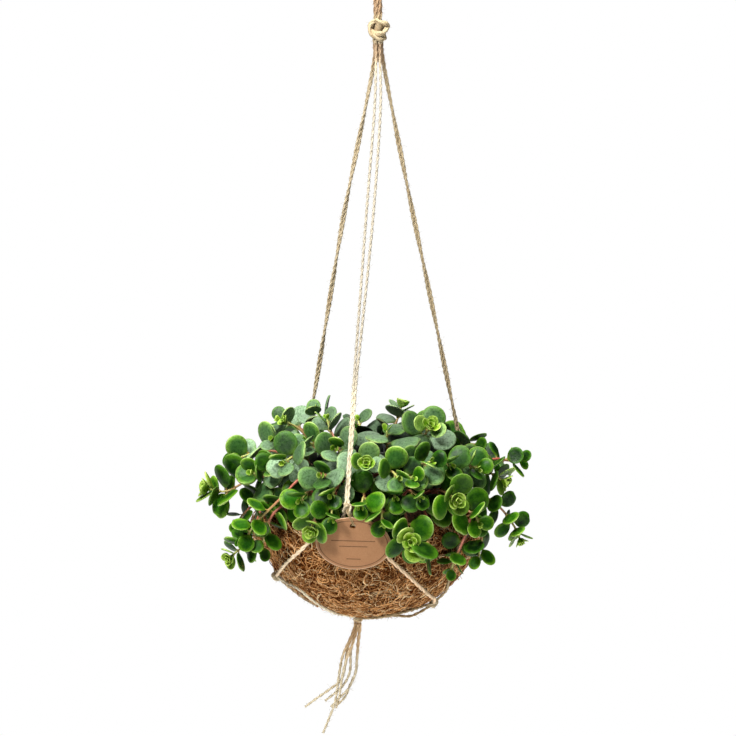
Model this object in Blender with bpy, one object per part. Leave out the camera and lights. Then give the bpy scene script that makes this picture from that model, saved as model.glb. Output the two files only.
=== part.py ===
"""Trailing sedum in a coir bowl, hung in a knotted twine net.

Metres, +Z up. The origin is where a hook bears, inside the top of the hanging loop.
Lists of places are in millimetres from the centre of the bowl's rim plane, with the front at -Y.
"""

import math
import random

import bmesh
import bpy
from mathutils import Matrix, Vector
from mathutils.bvhtree import BVHTree

MM = 0.001
GAP = 0.3  # clearance between neighbouring pieces
CURVE_STEPS = 40  # samples between two route points
FINE = 1200  # samples of a strand's route before it is trimmed
STEM_FINE = 600

# Driving dimensions, in millimetres
BOWL_RADIUS = 91.0
BOWL_DEPTH = 87.6
BOWL_FULLNESS = 2.0  # 2 is a true ellipse; more is fuller at the shoulder
BOWL_WALL = 9.0
RIM_HEIGHT = 4.0
BOWL_SEGMENTS = 28
OUTER_ANGLES = (78, 64, 50, 37, 25, 13, 0)  # rings of the outer side, degrees under the rim plane
INNER_ANGLES = (3, 25, 50, 72)
SOIL_RISE = 24.0
BOWL_DROP = 438.0  # from the hook's bearing point down to the rim plane
BOWL_SHIFT = -6.0

TWINE = 2.4  # diameter of one strand
TAIL_TWINE = 2.0
PAIR_RADIUS = 1.45  # from the middle of a twisted pair to each strand's own middle
TWIST_TURNS = 3.0

LOOP_STRAND = 4.0  # half of the bundle, where it opens into the eye
LOOP_BUNDLE = 7.4
EYE_WIDTH = 20.0
EYE_HEIGHT = 34.0
EYE_OVERLAP = 6.0  # how far the bundle runs up into the eye's foot
EYE_POINTS = 20
KNOT_DROP = 61.0
TOP_KNOT_HEIGHT = 17.6
KNOT_SIDES = 10

TAG_WIDTH = 58.0
TAG_HEIGHT = 43.0
TAG_THICK = 1.2
TAG_HOLE = 4.4
TAG_HOLE_AT = 14.5  # above the middle of the tag
TAG_TWINE = 1.2
TAG_RIM = 28
TAG_AT = (-12.8, -97.5, -6.5)
TAG_TURN = -7.0
TAG_LEAN = 10.0

HANGER_POINTS = 23  # points along one strand of each kind
FRONT_POINTS = 13
NET_POINTS = 5  # more than the strand's own route has
SLACK_POINTS = 10
TAIL_POINTS = 14
TIE_POINTS = 12

STEM_SIDE = 2.3
STEM_TAPER = 0.38  # share of its width that a stem loses by its tip
SOIL_START = 6.0  # how far a stem first runs straight out of the soil
SIDE_START = 3.5  # and straight out of its parent's side
LEAF_SCALE = 1.28
LEAF_LIFT = 0.35  # clearance kept around a leaf

BOWL_AT = Vector((BOWL_SHIFT, 0.0, -BOWL_DROP)) * MM

COIR = ((0.238, 0.112, 0.044), 0.95)
SOIL = ((0.045, 0.028, 0.018), 1.0)
JUTE = ((0.56, 0.42, 0.26), 0.9)
CARD = ((0.402, 0.202, 0.100), 0.85)
LEAF = ((0.060, 0.150, 0.030), 0.35)


# ---------------------------------------------------------------- shared helpers


def clear_scene():
    for thing in list(bpy.data.objects):
        bpy.data.objects.remove(thing, do_unlink=True)


def at(x, y, z):
    """World place, in metres, of a point given in millimetres from the bowl's centre."""
    return BOWL_AT + Vector((x, y, z)) * MM


def bowl_point(below, inset=0.0):
    """Radius and height of the bowl's side at an angle, in radians, under the rim plane."""
    wide = abs(math.cos(below)) / (BOWL_RADIUS - inset)
    deep = abs(math.sin(below)) / (BOWL_DEPTH - inset)
    reach = (wide**BOWL_FULLNESS + deep**BOWL_FULLNESS) ** (-1 / BOWL_FULLNESS)
    return reach * math.cos(below), -reach * math.sin(below)


def round_bowl(azimuth, drop, stand=TWINE / 2 + 2 * GAP):
    """Millimetre place standing off the bowl, by azimuth from the front and angle under the rim."""
    angle = math.radians(azimuth)
    flat, height = bowl_point(math.radians(drop), -stand)
    return (flat * math.sin(angle), -flat * math.cos(angle), height)


def material(name, look):
    colour, rough = look
    made = bpy.data.materials.new(name)
    made.use_nodes = True
    shader = made.node_tree.nodes["Principled BSDF"]
    shader.inputs["Base Color"].default_value = (*colour, 1.0)
    shader.inputs["Roughness"].default_value = rough
    shader.inputs["Metallic"].default_value = 0.0
    return made


def add_object(name, data, look, parent):
    thing = bpy.data.objects.new(name, data)
    bpy.context.collection.objects.link(thing)
    thing.parent = parent
    data.materials.append(material(name, look))
    return thing


def add_mesh(name, verts, faces, look, parent, smooth=True):
    mesh = bpy.data.meshes.new(name)
    mesh.from_pydata([tuple(v) for v in verts], [], faces)
    bm = bmesh.new()
    bm.from_mesh(mesh)
    bmesh.ops.recalc_face_normals(bm, faces=bm.faces)
    if bm.calc_volume(signed=True) < 0:
        bmesh.ops.reverse_faces(bm, faces=bm.faces)
    bm.to_mesh(mesh)
    bm.free()
    if smooth:
        mesh.shade_smooth()
        mesh.set_sharp_from_angle(angle=math.radians(50))
    return add_object(name, mesh, look, parent)


def turned(profile, segments, wobble=None):
    """Closed mesh turned about Z. The profile runs from one end of the axis to the other."""
    verts = [Vector((0, 0, profile[0][1]))]
    for radius, height in profile[1:-1]:
        for k in range(segments):
            angle = 2 * math.pi * k / segments
            reach = radius * (wobble(angle, height) if wobble else 1.0)
            verts.append(Vector((reach * math.cos(angle), reach * math.sin(angle), height)))
    verts.append(Vector((0, 0, profile[-1][1])))
    rings = len(profile) - 2
    last = len(verts) - 1
    faces = []
    for k in range(segments):
        n = (k + 1) % segments
        faces.append((0, 1 + k, 1 + n))
        faces.append((last, 1 + (rings - 1) * segments + n, 1 + (rings - 1) * segments + k))
        for r in range(rings - 1):
            low = 1 + r * segments
            faces.append((low + k, low + segments + k, low + segments + n, low + n))
    return verts, faces


def smooth_path(points, samples):
    """Evenly spaced samples of a Catmull-Rom curve through the points."""
    points = [Vector(p) for p in points]
    ends = [points[0] * 2 - points[1]] + points + [points[-1] * 2 - points[-2]]
    dense = []
    for a, b, c, d in zip(ends, ends[1:], ends[2:], ends[3:]):
        for step in range(CURVE_STEPS):
            t = step / CURVE_STEPS
            bend = (a * 2 - b * 5 + c * 4 - d) * t * t
            twist = (b * 3 - a - c * 3 + d) * t * t * t
            dense.append(0.5 * (b * 2 + (c - a) * t + bend + twist))
    dense.append(points[-1])
    return resample(dense, samples)


def resample(path, count):
    """The path's points, moved so that they are evenly spaced along it."""
    reach = [0.0]
    for a, b in zip(path, path[1:]):
        reach.append(reach[-1] + (b - a).length)
    out = []
    place = 0
    for k in range(count):
        want = reach[-1] * k / (count - 1)
        while place < len(path) - 2 and reach[place + 1] < want:
            place += 1
        span = max(reach[place + 1] - reach[place], 1e-12)
        out.append(path[place].lerp(path[place + 1], (want - reach[place]) / span))
    return out


def length_of(path):
    return sum((b - a).length for a, b in zip(path, path[1:]))


def tree_of(thing):
    """Search tree of an object's evaluated mesh, in world space."""
    bpy.context.view_layer.update()
    graph = bpy.context.evaluated_depsgraph_get()
    shown = thing.evaluated_get(graph)
    mesh = shown.to_mesh()
    verts = [thing.matrix_world @ v.co for v in mesh.vertices]
    faces = [tuple(p.vertices) for p in mesh.polygons]
    shown.to_mesh_clear()
    return BVHTree.FromPolygons(verts, faces)


def trim_start(path, tree, radius):
    """Drop the path's first stretch, up to where a strand's flat end clears the knot it leaves."""
    for k in range(1, len(path) - 1):
        along = (path[k + 1] - path[k]).normalized()
        side = along.orthogonal().normalized() * radius
        rim = [path[k]]
        for turn in range(8):
            rim.append(path[k] + Matrix.Rotation(turn * math.pi / 4, 3, along) @ side)
        depth = min(outside(tree, point) for point in rim)
        if depth >= GAP * MM:
            return path[k:]
    return path


def outside(tree, point):
    """Distance from a closed mesh, negative inside it."""
    place, normal, _, distance = tree.find_nearest(point)
    return distance if (point - place).dot(normal) > 0 else -distance


def strand(name, places, count, parent, start=None, end=None, diameter=TWINE, look=JUTE):
    """One strand of twine along the places, from one knot to the next."""
    radius = diameter / 2 * MM
    path = smooth_path([at(*p) for p in places], FINE)
    if start:
        path = trim_start(path, start, radius)
    if end:
        path = trim_start(path[::-1], end, radius)[::-1]
    path = resample(path, count)
    curve = bpy.data.curves.new(name, "CURVE")
    curve.dimensions = "3D"
    curve.bevel_depth = radius
    curve.bevel_resolution = 2
    curve.use_fill_caps = True
    spline = curve.splines.new("POLY")
    spline.points.add(len(path) - 1)
    for point, place in zip(spline.points, path):
        point.co = (*place, 1.0)
    return add_object(name, curve, look, parent)


# ---------------------------------------------------------------- bowl and soil


def bowl_profile():
    """Outer side from the bottom up, round the rim, and down the inside."""
    outer = [bowl_point(math.radians(angle)) for angle in OUTER_ANGLES]
    rim = [
        (BOWL_RADIUS - 2.0, RIM_HEIGHT * 0.8),
        (BOWL_RADIUS - BOWL_WALL / 2, RIM_HEIGHT),
        (BOWL_RADIUS - BOWL_WALL + 1.5, RIM_HEIGHT * 0.6),
    ]
    inner = [bowl_point(math.radians(angle), BOWL_WALL) for angle in INNER_ANGLES]
    places = [(0.0, -BOWL_DEPTH), *outer, *rim, *inner, (0.0, BOWL_WALL - BOWL_DEPTH)]
    return [(r * MM, z * MM) for r, z in places]


def make_bowl(parent):
    verts, faces = turned(bowl_profile(), BOWL_SEGMENTS)
    return add_mesh("coir_bowl", verts, faces, COIR, parent)


def soil_height(radius):
    """Top of the domed soil, in millimetres above the rim plane."""
    edge = BOWL_RADIUS - BOWL_WALL
    return SOIL_RISE * (1 - (radius / edge) ** 2) - 2.0


def make_soil(parent):
    side = [bowl_point(math.radians(angle), BOWL_WALL + 2 * GAP) for angle in INNER_ANGLES]
    edge = side[0][0]
    profile = [(0.0, BOWL_WALL + 2 * GAP - BOWL_DEPTH), *side[::-1]]
    for share in (0.96, 0.75, 0.5, 0.25, 0.0):
        profile.append((edge * share, soil_height(edge * share)))
    verts, faces = turned([(r * MM, z * MM) for r, z in profile], BOWL_SEGMENTS)
    return add_mesh("root_ball", verts, faces, SOIL, parent)


# ---------------------------------------------------------------- hanger

TOP_KNOT = (6.0, 0.0, BOWL_DROP - KNOT_DROP)
FRONT_KNOT = (-17.6, -96.5, 20.7)
RIGHT_KNOT = (79.5, 52.0, 15.0)
LEFT_KNOT = (-57.5, 75.5, 15.0)
LOW_LEFT_KNOT = round_bowl(-74.0, 34.0, 4.5)
LOW_RIGHT_KNOT = round_bowl(69.0, 54.0, 4.5)
LOW_BACK_KNOT = round_bowl(174.0, 45.0, 4.5)
BOTTOM_KNOT = (-10.0, 3.0, -93.4)

# Name, place, radius, height and the direction that the knot's wraps turn about
KNOTS = [
    ("top_knot", TOP_KNOT, 7.8, TOP_KNOT_HEIGHT, (0.05, 0.0, 1.0)),
    ("front_knot", FRONT_KNOT, 4.0, 8.6, (-0.1, -0.25, 1.0)),
    ("right_knot", RIGHT_KNOT, 4.0, 8.6, (0.2, 0.15, 1.0)),
    ("left_knot", LEFT_KNOT, 4.0, 8.6, (-0.15, 0.2, 1.0)),
    ("low_left_knot", LOW_LEFT_KNOT, 3.9, 8.2, (-0.8, 0.3, 0.5)),
    ("low_right_knot", LOW_RIGHT_KNOT, 3.9, 8.2, (0.8, 0.2, 0.7)),
    ("low_back_knot", LOW_BACK_KNOT, 3.9, 8.2, (0.0, 0.6, 0.8)),
    ("bottom_knot", BOTTOM_KNOT, 4.4, 7.6, (-0.1, 0.0, 1.0)),
]

# Where each free-hanging pair runs, as the middle of the pair
PAIR_LEFT = [(3.6, 1.2, 377), (3.6, 2.6, 357), (-4, 13, 315), (-20, 29.5, 235), (-33, 46, 157),
             (-46.5, 62.5, 74)]
PAIR_RIGHT = [(8.6, 1.2, 377), (9.6, 2.6, 357), (17.4, 9, 315), (31.8, 19, 243), (50.5, 32, 154),
              (71.4, 46.5, 53)]
PAIR_STEPS = 32

# The front pair's strands lie side by side and draw together on the way down
FRONT_A = [(4.6, -2.6, 377), (4.6, -5.0, 357), (3.4, -16, 317), (-2.6, -36, 242), (-7.7, -54, 175),
           (-12.8, -70, 115), (-15.8, -82, 71), (-18.4, -91.8, 35), (-19.0, -96.5, 20.7)]
FRONT_B = [(7.4, -2.6, 377), (7.6, -5.0, 357), (8.0, -16, 317), (2.8, -36, 242), (-3.9, -54, 175),
           (-10.0, -70, 115), (-13.1, -82, 71), (-15.7, -91.8, 35), (-16.2, -96.5, 20.7)]

# The net's strands lie on the bowl: azimuth from the front, and angle under the rim
NET = [
    ("net_front_left", "front_knot", "low_left_knot",
     [(-14, -6), (-18, -4), (-23.4, 0), (-30, 5.5), (-36.5, 11.5), (-48.8, 20.3), (-62, 28.5)]),
    ("net_front_right", "front_knot", "low_right_knot",
     [(-8, -6), (-5, -2), (6.7, 10.2), (15.2, 18.7), (27.5, 30), (43, 41.5), (57, 48)]),
    ("net_right_front", "right_knot", "low_right_knot",
     [(108, -3), (92, -2), (74, 0), (57, 6), (49, 12), (49, 24), (55, 35), (66, 44)]),
    ("net_right_back", "right_knot", "low_back_knot",
     [(129, 4), (140, 18), (154, 32), (166, 41)]),
    ("net_left_back", "left_knot", "low_back_knot",
     [(214, 4), (205, 18), (194, 31), (183, 41)]),
    ("net_left_front", "left_knot", "low_left_knot",
     [(228, 2), (243, 14), (258, 25), (270, 33)]),
    ("base_left_a", "low_left_knot", "bottom_knot",
     [(-64, 36.5), (-56, 37), (-50, 39), (-47, 45), (-44, 53), (-44, 64), (-54, 75)]),
    ("base_left_b", "low_left_knot", "bottom_knot",
     [(-75, 45), (-72, 53), (-74, 62), (-90, 74)]),
    ("base_right_a", "low_right_knot", "bottom_knot",
     [(58, 57), (42, 57), (26, 60), (6, 66), (-18, 76)]),
    ("base_back_a", "low_back_knot", "bottom_knot",
     [(166, 52), (162, 64), (168, 76)]),
    ("base_back_b", "low_back_knot", "bottom_knot",
     [(183, 52), (192, 64), (206, 76)]),
]

# One base strand is slack and hangs clear of the bowl
SLACK = [(45, -15, -80.4), (38, -16, -84.2), (31, -15, -87.0), round_bowl(50, 74), round_bowl(20, 80)]

# Each cut end runs down from the bottom knot and splays to one side
TAILS = [
    ("tail_1", [(-12.0, 1.8, -97.7), (-12.4, 1.4, -101), (-16.1, -2.2, -109.5), (-21.8, -3, -122.6),
                (-24.6, -3.8, -136.6), (-26.7, -4.6, -151.5), (-28.3, -5.4, -162), (-32.4, -6.2, -173),
                (-38, -7, -187)]),
    ("tail_2", [(-12.0, 4.2, -97.7), (-12.4, 4.1, -101), (-15.3, 0.4, -110), (-18.4, -0.2, -119),
                (-20.2, -1, -133.3), (-23.5, -1.7, -144), (-32.4, -2.3, -151.4), (-42.9, -2.9, -158.8),
                (-52.6, -3.5, -166)]),
    ("tail_3", [(-10.0, 5.4, -97.7), (-10.2, 5.4, -101), (-13.0, 3.2, -110), (-15.6, 2.4, -122),
                (-16.2, 1.4, -137.4), (-21, 1, -148.2), (-28.4, 0.5, -155.6), (-36.5, 0, -162)]),
    ("tail_4", [(-8.0, 4.2, -97.7), (-8.0, 4.3, -101), (-9.6, 5.4, -112), (-10.6, 5, -128),
                (-11.3, 4.4, -138.3), (-16.2, 4.2, -150), (-20.3, 4.1, -160), (-27.6, 4, -167.7)]),
    ("tail_5", [(-8.0, 1.8, -97.7), (-7.9, 1.8, -101), (-9.0, 1.8, -111), (-10.6, 1.6, -128),
                (-12.1, 1.4, -140), (-18.0, 0.8, -152.6), (-25.2, -2, -159.4), (-31.7, -4, -166)]),
    ("tail_6", [(-10.0, 0.6, -97.7), (-10.0, 0.4, -101), (-13.3, -4.4, -110.6), (-18.5, -6.4, -124),
                (-22.0, -7.8, -137.3), (-23.8, -9, -148.6), (-25, -10.2, -156.6), (-27.4, -11.4, -164.6)]),
]


def make_knot(name, place, radius, height, axis, parent):
    """A tight lump of wrapped strands: three shallow bulges round its axis."""
    bulges = 3
    rows = 7
    profile = [(0.0, -height / 2)]
    for k in range(1, rows):
        angle = math.pi * k / rows
        swell = 1.0 + 0.07 * math.cos(2 * bulges * (angle - math.pi / 2))
        profile.append((radius * math.sin(angle) * swell, -height / 2 * math.cos(angle)))
    profile.append((0.0, height / 2))

    def lean(angle, z):
        return 1.0 + 0.05 * math.sin(2 * angle + 0.4 * z / MM)

    verts, faces = turned([(r * MM, z * MM) for r, z in profile], KNOT_SIDES, lean)
    turn = Vector(axis).to_track_quat("Z", "Y").to_matrix().to_4x4()
    knot = add_mesh(name, [turn @ v for v in verts], faces, JUTE, parent)
    knot.location = at(*place)
    return knot


def twisted(places, sign):
    """One strand of a pair that twists slowly round the line through the middle places."""
    line = smooth_path([Vector(p) for p in places], PAIR_STEPS + 1)
    out = []
    for k, place in enumerate(line):
        along = (line[min(k + 1, PAIR_STEPS)] - line[max(k - 1, 0)]).normalized()
        across = Vector((0, 1, 0))
        across = (across - along * along.dot(across)).normalized()
        turn = Matrix.Rotation(2 * math.pi * TWIST_TURNS * k / PAIR_STEPS, 3, along)
        out.append(place + turn @ across * sign * PAIR_RADIUS)
    return out


def make_suspension(knots, trees, parent):
    top = trees["top_knot"]
    for name, middle in (("left", PAIR_LEFT), ("right", PAIR_RIGHT)):
        low = f"{name}_knot"
        for letter, sign in (("a", 1), ("b", -1)):
            places = twisted([*middle, knots[low]], sign)
            strand(f"hanger_{name}_{letter}", places, HANGER_POINTS, parent, top, trees[low])
    for letter, places in (("a", FRONT_A), ("b", FRONT_B)):
        strand(f"hanger_front_{letter}", places, FRONT_POINTS, parent, top, trees["front_knot"])


def make_net(knots, trees, parent):
    for name, upper, lower, route in NET:
        places = [knots[upper]] + [round_bowl(*step) for step in route] + [knots[lower]]
        strand(name, places, len(route) + NET_POINTS, parent, trees[upper], trees[lower])
    places = [knots["low_right_knot"], *SLACK, knots["bottom_knot"]]
    strand("base_right_b", places, SLACK_POINTS, parent, trees["low_right_knot"], trees["bottom_knot"])


def make_tails(parent):
    for name, route in TAILS:
        strand(name, route, TAIL_POINTS, parent, diameter=TAIL_TWINE)


def make_loop(parent):
    """The bundle above the top knot, opening into a drop-shaped eye for the hook."""
    eye = bpy.data.curves.new("loop_eye", "CURVE")
    eye.dimensions = "3D"
    eye.bevel_depth = LOOP_STRAND / 2 * MM
    eye.bevel_resolution = 2
    spline = eye.splines.new("POLY")
    spline.points.add(EYE_POINTS - 1)
    for k, point in enumerate(spline.points):
        angle = 2 * math.pi * k / EYE_POINTS
        swell = math.sin(angle) * math.sin(angle / 2) ** 0.7
        x = EYE_WIDTH / 2 * swell
        z = LOOP_STRAND / 2 - EYE_HEIGHT / 2 * (1 + math.cos(angle))
        point.co = (x * MM, 0, z * MM, 1.0)
    spline.use_cyclic_u = True
    guide = bpy.data.objects.new("loop_guide", eye)
    bpy.context.collection.objects.link(guide)
    bpy.context.view_layer.update()
    shown = guide.evaluated_get(bpy.context.evaluated_depsgraph_get())
    ring = bpy.data.objects.new("loop_eye", bpy.data.meshes.new_from_object(shown))
    bpy.data.objects.remove(guide, do_unlink=True)
    bpy.context.collection.objects.link(ring)
    ring.hide_render = True
    ring.display_type = "WIRE"
    ring.parent = parent
    low = -KNOT_DROP + TOP_KNOT_HEIGHT / 2 + GAP
    high = -EYE_HEIGHT + EYE_OVERLAP
    profile = [(0.0, low), (LOOP_BUNDLE * 0.42, low + 0.2), (LOOP_BUNDLE / 2, low + 2.0)]
    profile += [(LOOP_BUNDLE * 0.47, (low + high) / 2), (LOOP_BUNDLE / 2, high - 4.0)]
    profile += [(LOOP_BUNDLE * 0.3, high - 0.5), (0.0, high)]
    verts, faces = turned([(r * MM, z * MM) for r, z in profile], KNOT_SIDES)
    bundle = add_mesh("hanging_loop", verts, faces, JUTE, parent)
    join = bundle.modifiers.new("join", "BOOLEAN")
    join.operation = "UNION"
    join.solver = "EXACT"
    join.object = ring
    return bundle


def make_tag(parent):
    """Oval card, punched near its top, leaning on the net in front of the bowl."""
    rim = TAG_RIM
    front = []
    for k in range(rim):
        angle = 2 * math.pi * k / rim
        front.append((TAG_WIDTH / 2 * math.cos(angle), TAG_HEIGHT / 2 * math.sin(angle)))
    verts = [Vector((x, -TAG_THICK / 2, z)) * MM for x, z in front]
    verts += [Vector((x, TAG_THICK / 2, z)) * MM for x, z in front]
    faces = [tuple(range(rim)), tuple(range(rim, 2 * rim))]
    faces += [(k, (k + 1) % rim, rim + (k + 1) % rim, rim + k) for k in range(rim)]
    tag = add_mesh("tag", verts, faces, CARD, parent, smooth=False)
    punch = bpy.data.meshes.new("tag_punch")
    bm = bmesh.new()
    hole = Matrix.Translation(Vector((0, 0, TAG_HOLE_AT)) * MM) @ Matrix.Rotation(math.pi / 2, 4, "X")
    bmesh.ops.create_cone(
        bm, cap_ends=True, segments=12, radius1=TAG_HOLE / 2 * MM, radius2=TAG_HOLE / 2 * MM,
        depth=4 * TAG_THICK * MM, matrix=hole,
    )
    bm.to_mesh(punch)
    bm.free()
    cutter = bpy.data.objects.new("tag_punch", punch)
    bpy.context.collection.objects.link(cutter)
    cutter.hide_render = True
    cutter.display_type = "WIRE"
    cutter.parent = tag
    cut = tag.modifiers.new("hole", "BOOLEAN")
    cut.operation = "DIFFERENCE"
    cut.solver = "EXACT"
    cut.object = cutter
    tag.location = at(*TAG_AT)
    tag.rotation_euler = (math.radians(TAG_LEAN), 0.0, math.radians(TAG_TURN))
    return tag


def tie_places(tag):
    """A short loop of thin twine from the front knot, through the hole and back up behind."""
    bpy.context.view_layer.update()
    hole = tag.matrix_world @ (Vector((0, 0, TAG_HOLE_AT)) * MM)
    out = tag.matrix_world.to_3x3() @ Vector((0, -1, 0))
    hole = (hole - BOWL_AT) / MM
    knot = Vector(FRONT_KNOT)
    return [
        knot + Vector((0.6, -3.0, 0.0)),
        knot + Vector((0.9, -5.6, -2.6)),
        hole + out * 2.6 + Vector((0.3, 0, 2.4)),
        hole + out * 1.6,
        hole - out * 1.5 + Vector((0, 0, -0.1)),
    ]


# ---------------------------------------------------------------- sedum


def branch(points, leaf, bare=0.35, step=9.0, roll=0.0, side=None):
    """One stem: its places, largest leaf, bare share, leaf spacing, roll and what it leaves from.

    side is None for a stem from the soil, or (index of the parent stem, share along it).
    """
    return {"points": points, "leaf": leaf, "bare": bare, "step": step, "roll": roll, "side": side,
            "shut": False, "turn": 0.8, "lift": 1.0}


def twig(points, leaf, bare=0.2, step=9.0, roll=0.0, side=None, turn=0.8, lift=1.0):
    """A stem with no rosette at its tip.

    turn is how far its leaves turn towards the light, and lift scales how steeply they rise.
    """
    return {**branch(points, leaf, bare, step, roll, side), "shut": True, "turn": turn, "lift": lift}


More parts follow.
